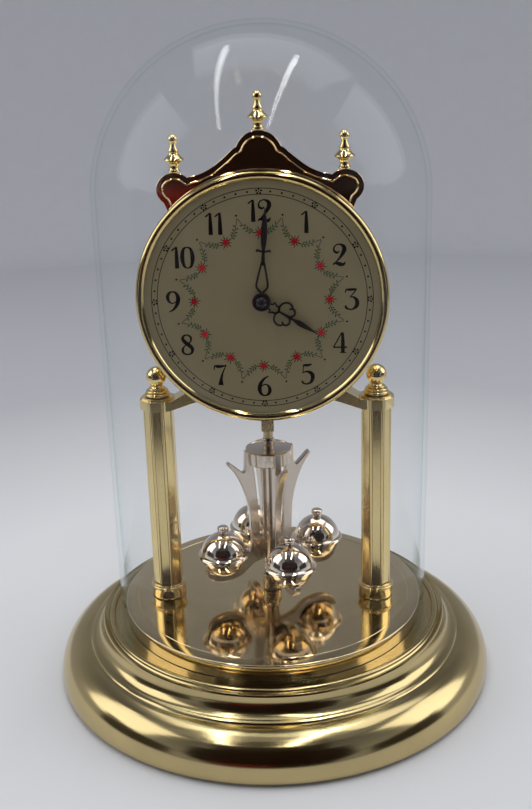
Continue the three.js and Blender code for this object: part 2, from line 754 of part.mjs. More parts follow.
function motor() {
  const floor = HOUSING.back + HOUSING.wall + GAP;
  const shelf = CENTRE_WHEEL_Z - 0.4;
  const body = box(-25, -MOTOR_DISTANCE + 2.2, -7, 7, floor, shelf)
    .add(box(-25, -MOTOR_DISTANCE - 2.4, -7, 7, floor, 5))
    .subtract(bar(ARBOR_PIVOT_R, floor + 0.6, 3, 10, -MOTOR_DISTANCE));
  const pinionR = (MOTOR_MODULE * MOTOR_PINION_TEETH) / 2;
  const phase = Math.PI / MOTOR_PINION_TEETH;
  const pinion = gear(MOTOR_PINION_TEETH, pinionR, CENTRE_WHEEL_Z - 0.1, CENTRE_WHEEL_Z + 1, 0, phase)
    .add(bar(0.5, floor + 0.9, CENTRE_WHEEL_Z, 8));
  return group(
    part("motor_unit", body, plastic(0x454a52)),
    part("motor_pinion", pinion, steel(), { x: -MOTOR_DISTANCE }),
  );
}

function electronics() {
  const floor = HOUSING.back + HOUSING.wall + GAP;
  const board = box(-25.5, 25.5, 19.5, 26, floor, floor + 1);
  const alongX = (solid, x, y, z) => solid.rotate([0, 90, 0]).translate([x, y, z]);
  const crystal = alongX(bar(1.5, -4, 4, 12), -18, 22.7, floor + 1 + GAP + 1.5);
  const spool = bar(3.4, -10, -9, 16).add(bar(2.8, -9.2, 9.2, 16)).add(bar(3.4, 9, 10, 16));
  return group(
    part("circuit_board", board, plastic(0x2f6b4a)),
    part("quartz_crystal", crystal, steel()),
    part("stepper_coil", alongX(spool, -14.5, 14.6, 1), metal(0xb06a3c, 0.45)),
  );
}

function battery() {
  const cell = bar(BATTERY.r, -24.3, 24.3, 24).add(bar(2.7, 24, 25.3, 12));
  const inner = MOVEMENT_HALF - HOUSING.wall;
  const leaf = (x0, x1) => box(x0, x1, BATTERY.y - 4.5, BATTERY.y + 4.5, BATTERY.z - 4, BATTERY.z + 4);
  const spring = bar(2.6, -25.9, -24.6, 12).rotate([0, 90, 0]).translate([0, BATTERY.y, BATTERY.z]);
  return group(
    part("battery", cell.rotate([0, 90, 0]).translate([0, BATTERY.y, BATTERY.z]), metal(0x6d7276, 0.4)),
    part("contact_positive", leaf(inner - 0.8, inner - GAP), steel()),
    part("contact_negative", leaf(GAP - inner, 0.8 - inner).add(spring), steel()),
  );
}

// ---------------------------------------------------------------- pendulum
// Heights from here on are above the table again.
const DRIVE = { floor: 131, top: 142.5, halfWidth: 14, halfDepth: 9, wall: 1.5 };

function pendulumDrive() {
  const { floor, top, halfWidth, halfDepth, wall } = DRIVE;
  const [w, d] = [halfWidth - wall, halfDepth - wall];
  const housing = box(-halfWidth, halfWidth, -halfDepth, halfDepth, floor, top)
    .subtract(box(-w, w, -d, d, floor + wall, top + 1))
    .subtract(bar(PIN_R + GAP, floor - 1, floor + 3, 12));
  const coil = bar(6.5, 138, 141.5, 20).subtract(bar(3, 137, 142, 16));
  const block = box(-BUSH_HALF, BUSH_HALF, -BUSH_HALF, BUSH_HALF, BUSH_FOOT_Z, floor - GAP)
    .subtract(bar(PIN_R + GAP, BUSH_FOOT_Z - 1, floor, 12));
  return group(
    part("drive_housing", housing, plastic(0x2b2b2b)),
    part("drive_coil", coil, metal(0xb06a3c, 0.45)),
    part("suspension_block", block, darkBrass()),
  );
}

const COLLAR_TOP_Z = 110.5; // top of the pendulum's own collar

// The pin carries the pendulum: its flange runs on the drive housing's floor.
function hanger() {
  const flange = DRIVE.floor + DRIVE.wall + GAP;
  const pin = bar(PIN_R, DRUM_TOP_Z + 0.8, 137.4, 12)
    .add(bar(2.2, COLLAR_TOP_Z + GAP, BUSH_FOOT_Z - GAP, 16))
    .add(bar(2.6, flange, flange + 0.7, 12));
  const magnet = bar(6, flange + 1, flange + 3.6, 20).subtract(bar(PIN_R + GAP, 120, 150, 12));
  return group(part("pendulum_hanger", pin, darkBrass()), part("pendulum_magnet", magnet, steel()));
}

// Flat arm seen from the side: a rib up the drum, a spur, a slender leg and a hook under the ball.
function armOutline() {
  const hookR = BALL_R + GAP;
  return [
    [7.5, DRUM_TOP_Z - 0.4],
    [11.5, DRUM_TOP_Z - 0.4],
    [12, 97],
    [12.8, 96],
    [18.8, 101.7],
    [20.1, 100.6],
    [16.2, 95.6],
    [13, 88],
    [11, 82],
    [10.1, 76],
    [9.8, 68],
    [9.8, 60],
    [10.8, 56.4],
    ...arc(BALL_ORBIT, BALL_Z, hookR, hookR, 200, 320, 8),
    [32.2, 51.2],
    [31.4, 47.4],
    [28, 44.9],
    [22, 44],
    [15, 46],
    [9, 51],
    [3, 52],
    [3, 61],
    [5.4, 64],
    [6.3, 76],
    [6.9, 88],
    [8, DRUM_BOTTOM_Z + 0.4],
  ];
}

function pendulumFrame() {
  const drum = turned(
    [
      [0, DRUM_BOTTOM_Z],
      [DRUM_R, DRUM_BOTTOM_Z],
      [DRUM_R, DRUM_TOP_Z - 0.4],
      [DRUM_R - 0.5, DRUM_TOP_Z],
      [DRUM_R - 1.8, DRUM_TOP_Z],
      [DRUM_R - 2, DRUM_TOP_Z - 0.7],
      [0, DRUM_TOP_Z - 0.7],
    ],
    24,
  );
  let frame = drum
    .add(bar(3.5, 44, DRUM_BOTTOM_Z + 1, 16))
    .add(bar(2.4, PLATE_Z + GAP + 2, 45, 16))
    .add(bar(2.75, DRUM_TOP_Z - 1, COLLAR_TOP_Z, 16));
  const arm = slab(armOutline(), -BLADE / 2, BLADE / 2).rotate([90, 0, 0]);
  for (let i = 0; i < 4; i++) {
    frame = frame.add(arm.rotate([0, 0, 90 * i]));
  }
  frame = frame.subtract(bar(PIN_R + GAP, DRUM_TOP_Z + 0.5, 120, 12));
  return part("pendulum_frame", frame, champagne());
}

// Hollow-looking ball with a flange round its middle and a knob on top.
function ball(name, index) {
  const angle = (index * Math.PI) / 2;
  const flange = 0.6;
  const solid = turned(
    [
      [0, -BALL_R],
      ...arc(0, 0, BALL_R, BALL_R, -60, -8, 3),
      [RIM_R, -flange],
      [RIM_R, flange],
      ...arc(0, 0, BALL_R, BALL_R, 8, 78, 4),
      [2.6, 11.4],
      [2.6, 13.4],
      [1.9, 13.8],
      [0, 13.8],
    ],
    14,
  );
  const place = { x: BALL_ORBIT * Math.cos(angle), y: BALL_ORBIT * Math.sin(angle), z: BALL_Z };
  return part(name, solid, champagne(), place);
}

function pendulum() {
  const turning = group(pendulumFrame(), ...[0, 1, 2, 3].map((i) => ball(`pendulum_ball_${i + 1}`, i)));
  turning.rotation.z = THREE.MathUtils.degToRad(PENDULUM_TURN);
  return group(turning, hanger());
}

// ---------------------------------------------------------------- assembly
function head() {
  const pieces = group(
    bracket(),
    bracketScrew("bracket_screw_left", -1),
    bracketScrew("bracket_screw_right", 1),
    caseDrum(),
    rearCover(),
    rearCoverScrew("rear_cover_screw_left", -1),
    rearCoverScrew("rear_cover_screw_right", 1),
    batteryDoor(),
    bezel(),
    dialPlate(),
    crest(),
    minuteHand(),
    hourHand(),
    handCap(),
    dialNut(),
    movementFront(),
    movementHousing(),
    minuteArbor(),
    centreWheel(),
    minuteWheel(),
    hourWheel(),
    setKnob(),
    motor(),
    electronics(),
    battery(),
  );
  pieces.rotation.x = Math.PI / 2;
  pieces.position.z = DIAL_Z;
  return pieces;
}

export default group(
  group(baseShell(), mirrorPlate(), baseUnderside(), guideCup()),
  dome(),
  columnSet("left", -COLUMN_X),
  columnSet("right", COLUMN_X),
  head(),
  finials(),
  pendulumDrive(),
  pendulum(),
);
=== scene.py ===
import math

import bpy
from mathutils import Matrix, Vector


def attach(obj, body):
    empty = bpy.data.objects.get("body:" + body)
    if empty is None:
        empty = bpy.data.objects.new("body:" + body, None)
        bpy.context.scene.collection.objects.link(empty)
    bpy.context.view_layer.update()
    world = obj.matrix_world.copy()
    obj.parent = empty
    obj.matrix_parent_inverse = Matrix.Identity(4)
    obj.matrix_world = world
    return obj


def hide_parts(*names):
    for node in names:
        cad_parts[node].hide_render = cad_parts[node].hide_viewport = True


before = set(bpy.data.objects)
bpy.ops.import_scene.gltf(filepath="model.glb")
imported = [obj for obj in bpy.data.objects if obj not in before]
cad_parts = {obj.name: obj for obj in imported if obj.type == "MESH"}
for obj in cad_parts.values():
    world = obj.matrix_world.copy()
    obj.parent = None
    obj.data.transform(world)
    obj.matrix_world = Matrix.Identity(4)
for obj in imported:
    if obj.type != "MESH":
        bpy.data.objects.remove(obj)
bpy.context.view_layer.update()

# Sizes are in millimetres, scaled to metres when a mesh is built. Lights, cards and camera are in metres.
MM = 0.001
AXIS_R = 0.01  # radius that stands for zero on the axis of a turned piece
DIAL_Z = 177.0  # height of the hands' axis
DIAL_FRONT = 16.0  # dial face, forward of the pendulum's axis
COLUMN_X, COLUMN_Y = 48, -5
PENDULUM_TURN = math.radians(24)  # rest angle of the pendulum's first arm
BALL_ORBIT, BALL_Z, BALL_R = 23.2, 57.7, 10.4


# ------------------------------------------------------------------ materials
class Nodes:
    """A material's node tree, with short calls for the few node types used here."""

    def __init__(self, name):
        self.material = bpy.data.materials.new(name)
        self.material.use_nodes = True
        self.tree = self.material.node_tree
        self.tree.nodes.clear()
        self.output = self.add("ShaderNodeOutputMaterial")

    def add(self, kind, **settings):
        node = self.tree.nodes.new(kind)
        for key, value in settings.items():
            if key in node.inputs:
                node.inputs[key].default_value = value
            else:
                setattr(node, key, value)
        return node

    def link(self, a, b):
        self.tree.links.new(a, b)

    def surface(self, shader):
        """Ends the tree with this shader and returns the material."""
        self.link(shader.outputs[0], self.output.inputs["Surface"])
        return self.material

    def noise(self, scale, detail=3.0):
        """Noise in the object's own metres."""
        place = self.add("ShaderNodeTexCoord")
        noise = self.add("ShaderNodeTexNoise", Scale=scale, Detail=detail)
        self.link(place.outputs["Object"], noise.inputs["Vector"])
        return noise.outputs["Fac"]

    def turned_noise(self, scale):
        """Rings round the Z axis, as a lathe or a spinning tool leaves them."""
        place = self.add("ShaderNodeTexCoord")
        flat = self.add("ShaderNodeVectorMath", operation="MULTIPLY")
        flat.inputs[1].default_value = (1, 1, 0)
        self.link(place.outputs["Object"], flat.inputs[0])
        radius = self.add("ShaderNodeVectorMath", operation="LENGTH")
        self.link(flat.outputs["Vector"], radius.inputs[0])
        split = self.add("ShaderNodeSeparateXYZ")
        self.link(place.outputs["Object"], split.inputs[0])
        join = self.add("ShaderNodeCombineXYZ")
        self.link(radius.outputs["Value"], join.inputs["X"])
        self.link(split.outputs["Z"], join.inputs["Z"])
        noise = self.add("ShaderNodeTexNoise", Scale=scale, Detail=2.0)
        self.link(join.outputs["Vector"], noise.inputs["Vector"])
        return noise.outputs["Fac"]

    def spread(self, value, low, high):
        """Stretches the middle of a noise over a range of values."""
        node = self.add("ShaderNodeMapRange")
        node.inputs["From Min"].default_value = 0.3
        node.inputs["From Max"].default_value = 0.7
        node.inputs["To Min"].default_value = low
        node.inputs["To Max"].default_value = high
        self.link(value, node.inputs["Value"])
        return node.outputs["Result"]

    def ramp(self, value, stops):
        """Colour from a number, through (position, colour) stops."""
        node = self.add("ShaderNodeValToRGB")
        elements = node.color_ramp.elements
        while len(elements) < len(stops):
            elements.new(0.5)
        for element, (position, _) in zip(elements, stops):
            element.position = position
        for element, (_, color) in zip(elements, stops):
            element.color = (*color, 1)
        self.link(value, node.inputs["Fac"])
        return node.outputs["Color"]

    def clouds(self, scale, first, second):
        """Soft patches of two near colours."""
        return self.ramp(self.noise(scale), ((0.35, first), (0.65, second)))

    def bump(self, height, strength, distance):
        node = self.add("ShaderNodeBump", Strength=strength, Distance=distance)
        self.link(height, node.inputs["Height"])
        return node.outputs["Normal"]


def near(color, change):
    return tuple(min(1.0, c * change) for c in color)


def metal(name, colors, roughness, grain, bump, turned=False):
    """Plated or bare metal. A turned one has a lathe's fine rings, which stretch its highlights."""
    n = Nodes(name)
    shader = n.add("ShaderNodeBsdfPrincipled", Metallic=1.0)
    n.link(n.clouds(45.0, *colors), shader.inputs["Base Color"])
    fine = n.turned_noise(grain) if turned else n.noise(grain)
    n.link(n.spread(fine, *roughness), shader.inputs["Roughness"])
    n.link(n.bump(fine, bump, 0.0002), shader.inputs["Normal"])
    if turned:
        shader.inputs["Anisotropic"].default_value = 0.45
        around = n.add("ShaderNodeTangent", direction_type="RADIAL", axis="Z")
        n.link(around.outputs[0], shader.inputs["Tangent"])
    return n.surface(shader)


def solid(name, colors, roughness, grain, bump, sheen=0.0, shine=0.5):
    """Paint, plastic, ink or felt."""
    n = Nodes(name)
    shader = n.add("ShaderNodeBsdfPrincipled", Metallic=0.0)
    shader.inputs["Specular IOR Level"].default_value = shine
    shader.inputs["Sheen Weight"].default_value = sheen
    n.link(n.clouds(60.0, *colors), shader.inputs["Base Color"])
    fine = n.noise(grain)
    n.link(n.spread(fine, *roughness), shader.inputs["Roughness"])
    n.link(n.bump(fine, bump, 0.0003), shader.inputs["Normal"])
    return n.surface(shader)


# Glass seen square-on is at 0 and at a grazing angle at 1.
GLASS_TINT = (
    (0.0, (0.992, 0.994, 0.994)),
    (0.8, (0.984, 0.99, 0.989)),
    (0.95, (0.92, 0.95, 0.948)),
    (1.0, (0.72, 0.79, 0.79)),
)
MIRROR_SHARES = ((0.0, 0.004), (0.2, 0.010), (0.5, 0.022), (0.86, 0.08), (1.0, 0.60))
GLASS_MIRROR = [(position, (share,) * 3) for position, share in MIRROR_SHARES]


def dome_glass():
    """Thin clear glass: it mirrors what grazes it and takes a cool tint towards its edges."""
    n = Nodes("dome_glass")
    clear = n.add("ShaderNodeBsdfTransparent")
    edge = n.add("ShaderNodeLayerWeight", Blend=0.5)
    n.link(n.ramp(edge.outputs["Facing"], GLASS_TINT), clear.inputs["Color"])
    gloss = n.add("ShaderNodeBsdfGlossy")
    gloss.inputs["Color"].default_value = (0.95, 0.98, 1.0, 1)
    n.link(n.spread(n.noise(30.0), 0.01, 0.035), gloss.inputs["Roughness"])
    n.link(n.bump(n.noise(12.0, 1.0), 0.02, 0.002), gloss.inputs["Normal"])
    mix = n.add("ShaderNodeMixShader")
    n.link(n.ramp(edge.outputs["Facing"], GLASS_MIRROR), mix.inputs[0])
    n.link(clear.outputs[0], mix.inputs[1])
    n.link(gloss.outputs[0], mix.inputs[2])
    return n.surface(mix)


# Each has its name, two near colours, lowest and highest roughness, grains in a metre and bump strength.
BRASS = (0.83, 0.66, 0.32)
CHAMPAGNE = (0.87, 0.765, 0.65)
METALS = {
    "polished": ("polished_brass", (BRASS, near(BRASS, 0.95)), (0.06, 0.12), 700, 0.02),
    "bezel": ("bezel_brass", ((0.72, 0.57, 0.27), (0.66, 0.52, 0.24)), (0.08, 0.15), 900, 0.02),
    "column": ("column_brass", ((0.82, 0.66, 0.33), (0.78, 0.62, 0.30)), (0.12, 0.19), 900, 0.03),
    "plate": ("mirror_plate", ((0.76, 0.60, 0.355), (0.72, 0.57, 0.335)), (0.06, 0.095), 600, 0.01),
    "crest": ("crest_brass", ((0.74, 0.56, 0.36), (0.70, 0.53, 0.33)), (0.04, 0.08), 500, 0.015),
    "champagne": ("champagne_plate", (CHAMPAGNE, near(CHAMPAGNE, 0.95)), (0.05, 0.1), 600, 0.02),
    "leaf": ("champagne_leaf", (near(CHAMPAGNE, 0.82), near(CHAMPAGNE, 0.78)), (0.17, 0.25), 800, 0.03),
    "cast": ("cast_brass", ((0.86, 0.70, 0.36), (0.80, 0.65, 0.33)), (0.18, 0.26), 1100, 0.06),
    "bronze": ("dull_bronze", ((0.60, 0.46, 0.26), (0.52, 0.40, 0.22)), (0.20, 0.32), 1200, 0.06),
    "steel": ("bright_steel", ((0.62, 0.63, 0.64), (0.55, 0.56, 0.58)), (0.2, 0.32), 1500, 0.05),
    "copper": ("copper_wire", ((0.72, 0.38, 0.22), (0.62, 0.32, 0.18)), (0.25, 0.4), 3000, 0.2),
    "cell": ("battery_sleeve", ((0.35, 0.38, 0.4), (0.3, 0.33, 0.36)), (0.25, 0.35), 900, 0.03),
}
SPUN_BRASS = ("spun_brass", ((0.54, 0.43, 0.21), (0.59, 0.47, 0.236)), (0.11, 0.19), 2500, 0.05)
SOLIDS = {
    "black_paint": ("black_paint", ((0.012, 0.008, 0.012), (0.02, 0.013, 0.016)), (0.32, 0.45), 2500, 0.08),
    "black_plastic": ("black_plastic", ((0.02, 0.02, 0.022), (0.03, 0.03, 0.032)), (0.4, 0.55), 3500, 0.2),
    "white_plastic": ("white_plastic", ((0.82, 0.80, 0.75), (0.76, 0.74, 0.69)), (0.35, 0.5), 1500, 0.1),
    "board": ("circuit_board", ((0.03, 0.16, 0.08), (0.04, 0.2, 0.1)), (0.25, 0.4), 1500, 0.1),
    "fibre": ("fibreboard", ((0.07, 0.045, 0.03), (0.045, 0.03, 0.02)), (0.7, 0.85), 1800, 0.4),
}
FELT = ("felt", ((0.035, 0.012, 0.014), (0.02, 0.008, 0.01)), (0.9, 1.0), 4000, 1.0)
# The dial face's colour is its champagne tone made darker as painted shade, for the dim light that falls on
# the dial.
DIAL_TONE_AND_SHADE = ("dial_face", ((0.275, 0.225, 0.125), (0.26, 0.213, 0.118)), (0.38, 0.46), 2500, 0.03)
INKS = {
    "ink": ("black_ink", ((0.010, 0.007, 0.008), (0.016, 0.011, 0.012)), (0.45, 0.6), 4000, 0.05),
    "olive_ink": ("olive_ink", ((0.035, 0.03, 0.018), (0.05, 0.042, 0.025)), (0.45, 0.6), 4000, 0.05),
    "red_ink": ("red_ink", ((0.34, 0.008, 0.012), (0.50, 0.022, 0.03)), (0.4, 0.5), 2600, 0.05),
    "green_ink": ("green_ink", ((0.014, 0.06, 0.026), (0.024, 0.09, 0.04)), (0.45, 0.6), 4000, 0.05),
}
MATERIALS = {key: metal(*values) for key, values in METALS.items()}
MATERIALS["spun"] = metal(*SPUN_BRASS, turned=True)
MATERIALS |= {key: solid(*values) for key, values in SOLIDS.items()}
MATERIALS["felt"] = solid(*FELT, sheen=0.4)
MATERIALS["dial"] = solid(*DIAL_TONE_AND_SHADE, shine=0.25)
MATERIALS |= {key: solid(*values, shine=0.1) for key, values in INKS.items()}
MATERIALS["glass"] = dome_glass()


# ------------------------------------------------------------------ mesh building
class Shape:
    """Vertices in millimetres and faces, collected part by part."""

    def __init__(self):
        self.verts = []
        self.faces = []

    def add(self, verts, faces):
        start = len(self.verts)
        self.verts += [tuple(v) for v in verts]
        self.faces += [tuple(start + i for i in f) for f in faces]
        return self

    def join(self, other):
        return self.add(other.verts, other.faces)

    def moved(self, matrix):
        self.verts = [tuple(matrix @ Vector(v)) for v in self.verts]
        return self


def loft(rings, closed=False, capped=True):
    """Skin over rings of equal length. The end rings get flat caps unless the loft closes on itself."""
    count = len(rings[0])
    faces = []
    last = len(rings) if closed else len(rings) - 1
    for i in range(last):
        a, b = i * count, (i + 1) % len(rings) * count
        faces += [(a + j, a + (j + 1) % count, b + (j + 1) % count, b + j) for j in range(count)]
    if capped and not closed:
        faces.append(tuple(reversed(range(count))))
        end = (len(rings) - 1) * count
        faces.append(tuple(range(end, end + count)))
    return Shape().add([p for ring in rings for p in ring], faces)


def turned_rings(profile, segments, ripple=None):
    rings = []
    for r, z in profile:
        ring = []
        for j in range(segments):
            a = 2 * math.pi * j / segments
            wide = max(r, AXIS_R) * (1 + (ripple(a, z) if ripple else 0))
            ring.append((wide * math.cos(a), wide * math.sin(a), z))
        rings.append(ring)
    return rings


def lathe(profile, segments=96, ripple=None):
    """Turned shape about Z from (radius, height) pairs running upwards along the outside."""
    closed = profile[0][0] > AXIS_R or profile[-1][0] > AXIS_R
    return loft(turned_rings(profile, segments, ripple), closed)


def flat(outline, z):
    return [(x, y, z) for x, y in outline]


def prism(outline, z0, z1, bevel):
    """Flat outline between two heights, with a small chamfer round both faces."""
    small = inset(outline, bevel)
    steps = [(small, z0), (outline, z0 + bevel), (outline, z1 - bevel), (small, z1)]
    return loft([flat(ring, z) for ring, z in steps])


def inset(outline, d):
    """The outline drawn in by d. It must run anticlockwise."""
    result = []
    for i, point in enumerate(outline):
        before, here = Vector(outline[i - 1]), Vector(point)
        after = Vector(outline[(i + 1) % len(outline)])
        u, v = (here - before).normalized(), (after - here).normalized()
        n1, n2 = Vector((-u.y, u.x)), Vector((-v.y, v.x))
        mid = n1 + n2
        mid = mid / max(mid.dot(n1), 0.6) if mid.length > 1e-6 else n1
        result.append(tuple(here + mid * d))
    return result


def arc(cx, cy, rx, ry, a0, a1, steps):
    """Points on an ellipse's arc, angles in degrees."""
    angles = [math.radians(a0 + (a1 - a0) * i / steps) for i in range(steps + 1)]
    return [(cx + rx * math.cos(a), cy + ry * math.sin(a)) for a in angles]


def spline_value(a, b, c, d, t):
    """Catmull-Rom value between b and c."""
    bend = (2 * a - 5 * b + 4 * c - d) * t * t + (3 * b - a - 3 * c + d) * t ** 3
    return 0.5 * (2 * b + (c - a) * t + bend)


def spline(points, steps=8):
    """Smooth curve through points of any length of tuple."""
    out = []
    for i in range(len(points) - 1):
        p0, p1 = points[max(i - 1, 0)], points[i]
        p2, p3 = points[i + 1], points[min(i + 2, len(points) - 1)]
        for s in range(steps):
            out.append(tuple(spline_value(*values, s / steps) for values in zip(p0, p1, p2, p3)))
    out.append(tuple(points[-1]))
    return out


def stroke(shape, points, z0, z1, steps=8):
    """Pen stroke: points are (x, y, width). It is a ribbon with thickness from z0 to z1."""
    path = spline(points, steps)
    rings = []
    for i, (x, y, w) in enumerate(path):
        ax, ay = path[max(i - 1, 0)][:2]
        bx, by = path[min(i + 1, len(path) - 1)][:2]
        length = math.hypot(bx - ax, by - ay) or 1.0
        nx, ny = -(by - ay) / length * w / 2, (bx - ax) / length * w / 2
        left, right = (x + nx, y + ny), (x - nx, y - ny)
        rings.append([(*left, z0), (*right, z0), (*right, z1), (*left, z1)])
    shape.join(loft(rings))


# From the dial's own directions (x right, y up, z towards the viewer) to the clock's.
DIAL = Matrix(((1, 0, 0, 0), (0, 0, -1, 0), (0, 1, 0, DIAL_Z), (0, 0, 0, 1)))


def add_mesh(name, verts, faces, material):
    """A smooth-shaded mesh object, from vertices in metres."""
    mesh = bpy.data.meshes.new(name)
    mesh.from_pydata(verts, [], faces)
    mesh.validate()
    mesh.update()
    mesh.materials.append(material)
    mesh.shade_smooth()
    obj = bpy.data.objects.new(name, mesh)
    bpy.context.scene.collection.objects.link(obj)
    return obj


def metres(verts):
    return [(x * MM, y * MM, z * MM) for x, y, z in verts]


def piece(name, shape, material, body, slot, *nodes, crease=35):
    """A visible piece in place of the CAD nodes named. Edges sharper than the crease stay sharp."""
    obj = add_mesh(name, metres(shape.verts), shape.faces, MATERIALS[material])
    obj.data.set_sharp_from_angle(angle=math.radians(crease))
    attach(obj, body)
    if nodes:
        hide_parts(*nodes)


def finish_cad(node, material, bevel=0.0):
    """A CAD node kept as it is, with its own material and, if asked, softened edges."""
    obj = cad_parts[node]
    obj.data.materials.clear()
    obj.data.materials.append(MATERIALS[material])
    if bevel:
        weld = obj.modifiers.new("weld", "WELD")
        weld.merge_threshold = 0.00001
        edge = obj.modifiers.new("edge", "BEVEL")
        edge.width = bevel * MM
        edge.segments = 2
        edge.limit_method = "ANGLE"
        edge.angle_limit = math.radians(40)


# ------------------------------------------------------------------ base
def base():
    """Spun shell with a rolled foot, a cove and a ledge for the glass, and the mirror plate over it."""
    outside = (
        [(98.6, 1.2), (99.5, 1.5), (99.9, 2.2), (100, 3.2)]
        + arc(86.4, 4, 13.6, 15.1, 0, 88, 36)
        + [(86.2, 19.15), (85.8, 19.25), (85.5, 19.6), (85.3, 19.9), (84.9, 20.1)]
        + arc(84.6, 28.2, 5.2, 7.9, 268, 184, 22)
        + [(79.35, 28.0), (79.1, 28.45), (78.6, 28.5), (77.9, 27.9), (77.2, 27.7), (76.7, 28.2)]
        + arc(75.3, 28.6, 1.3, 0.95, 10, 150, 8)
        + [(73.9, 28.35), (73.4, 28.3), (60, 28.3)]
    )
    inside = [(60, 26.8), (76.5, 26.8), (81.3, 19.3)] + arc(86.4, 4, 12.1, 13.6, 90, 0, 12) + [(97.1, 1.2)]
    shell = lathe(outside + inside, 256)
    piece("base_shell_fine", shell, "spun", "stand", "brass", "base_shell", crease=28)

    plate = (
        [(0, 34.1), (67.0, 34.1), (67.0, 28.6), (68.3, 28.6), (68.4, 34.7)]
        + arc(67.7, 34.8, 0.7, 0.7, 0, 90, 5)
        + [(63.1, 35.5), (62.9, 35.36), (62.6, 35.36), (62.4, 35.5), (20, 35.5), (0, 35.5)]
    )
    piece("mirror_plate_fine", lathe(plate, 256), "plate", "stand", "mirror_brass", "mirror_plate", crease=25)

    cup = [(0, 35.8), (3.8, 35.8), (4.25, 36.3), (4.3, 37.6), (4.1, 37.9), (4.15, 38.2), (4.2, 41.8)]
    cup += [(4.0, 42.6), (3.6, 43.0), (3.15, 42.9), (3.1, 42.4), (3.1, 37.4), (0, 37.4)]
    piece("guide_cup_fine", lathe(cup, 48), "bronze", "stand", "dark_brass", "guide_cup")
    finish_cad("felt_pad", "felt")
    finish_cad("bottom_cover", "fibre")


# ------------------------------------------------------------------ dome
def dome():
    """Straight-sided glass with a rounded rim and a half-round top."""
    rim = [(68.9, 29.1), (69.3, 28.65), (69.8, 28.6), (70.3, 28.65), (70.7, 29.1)]
    outer = arc(0, 218, 70.7, 70, 0, 90, 40)
    inner = arc(0, 218, 68.9, 68.2, 90, 0, 40)
    shape = lathe(rim + outer + inner, 160)
    piece("glass_dome_fine", shape, "glass", "dome", "glass", "glass_dome", crease=60)


# ------------------------------------------------------------------ columns
def flute_outline(corner_r, reed):
    """Eight flats with a half-round reed and a groove each side of it at every corner."""
    eighth = 22.5  # degrees from the middle of a flat to its corner
    flat_r = corner_r * math.cos(math.radians(eighth)) + 0.22
    half = flat_r * math.tan(math.radians(eighth)) - reed * 1.25
    reed_r = corner_r - reed * 0.6
    points = []
    for i in range(8):
        middle = math.radians(45 * i)
        across, along = math.cos(middle), math.sin(middle)
        points += [(flat_r * across - s * along, flat_r * along + s * across) for s in (-half, half)]
        corner = 45 * i + eighth
        cx, cy = reed_r * math.cos(math.radians(corner)), reed_r * math.sin(math.radians(corner))
        points += arc(cx, cy, reed, reed, corner - 105, corner + 105, 8)
    return points


def columns():
    """On each side a reeded shaft on a turned foot, under a stepped cap with a ball."""
    outline = flute_outline(6.6, 0.72)
    foot = (
        [(0, 35.8), (7.7, 35.8), (7.85, 36.1), (7.8, 36.5), (7.75, 40.0), (7.85, 40.3)]
        + arc(7.6, 40.9, 0.6, 0.6, -60, 60, 6)
        + [(7.4, 41.6)]
        + arc(7.3, 42.05, 0.4, 0.4, -60, 80, 6)
        + [(0, 42.5)]
    )
    cap = (
        [(0, 132.8), (4.9, 132.8)]
        + arc(4.9, 133.5, 0.65, 0.7, -80, 80, 8)
        + [(4.5, 134.35)]
        + arc(4.35, 134.95, 0.6, 0.55, -70, 75, 8)
        + [(3.8, 135.6)]
        + arc(3.4, 136.05, 0.5, 0.45, -70, 75, 7)
        + [(2.9, 136.6), (2.6, 137.0), (2.7, 137.5)]
        + arc(0, 141.3, 4.5, 4.5, -54, 90, 22)
    )
    for side, x in (("left", -COLUMN_X), ("right", COLUMN_X)):
        place = Matrix.Translation((x, COLUMN_Y, 0))
        parts = (
            ("column", loft([flat(outline, z) for z in (42.9, 126.8)]), "column"),
            ("column_foot", lathe(foot, 72), "column"),
            ("column_cap", lathe(cap, 64), "polished"),
        )
        for name, shape, material in parts:
            piece(f"{name}_{side}_fine", shape.moved(place), material, "stand", "brass", f"{name}_{side}")
        finish_cad(f"tie_rod_{side}", "steel")
        finish_cad(f"tie_rod_nut_{side}", "steel", 0.2)


# ------------------------------------------------------------------ case and bezel
def turned_head(profile, segments=160):
    """A turned piece about the hands' axis; heights run towards the viewer."""
    return lathe(profile, segments).moved(DIAL)


def case():
    """Drum, bezel, back and the bracket that holds the case on the columns."""
    drum = [(48.8, -12), (49.6, -12), (50, -11.6), (50, 14.9), (48.8, 14.9)]
    piece("case_drum_fine", turned_head(drum), "polished", "stand", "brass", "case_drum")
    ring = [(50.3, 12.3), (52.4, 12.3), (52.9, 12.7), (53, 13.4), (53, 15.4)]
    ring += arc(51.2, 15.6, 1.8, 2.1, 0, 100, 14) + [(50.4, 17.45), (49.8, 17.0), (49.3, 16.35), (50.3, 16.3)]
    piece("bezel_fine", turned_head(ring, 224), "bezel", "stand", "brass", "bezel")
    for node in ("rear_cover", "battery_door"):
        finish_cad(node, "polished", 0.2)
    for side in ("left", "right"):
        finish_cad(f"rear_cover_screw_{side}", "steel", 0.2)
        finish_cad(f"bracket_screw_{side}", "steel", 0.2)
    finish_cad("movement_bracket", "cast", 0.25)
    finish_cad("set_knob", "black_plastic", 0.15)
    finish_cad("dial_nut", "polished", 0.1)


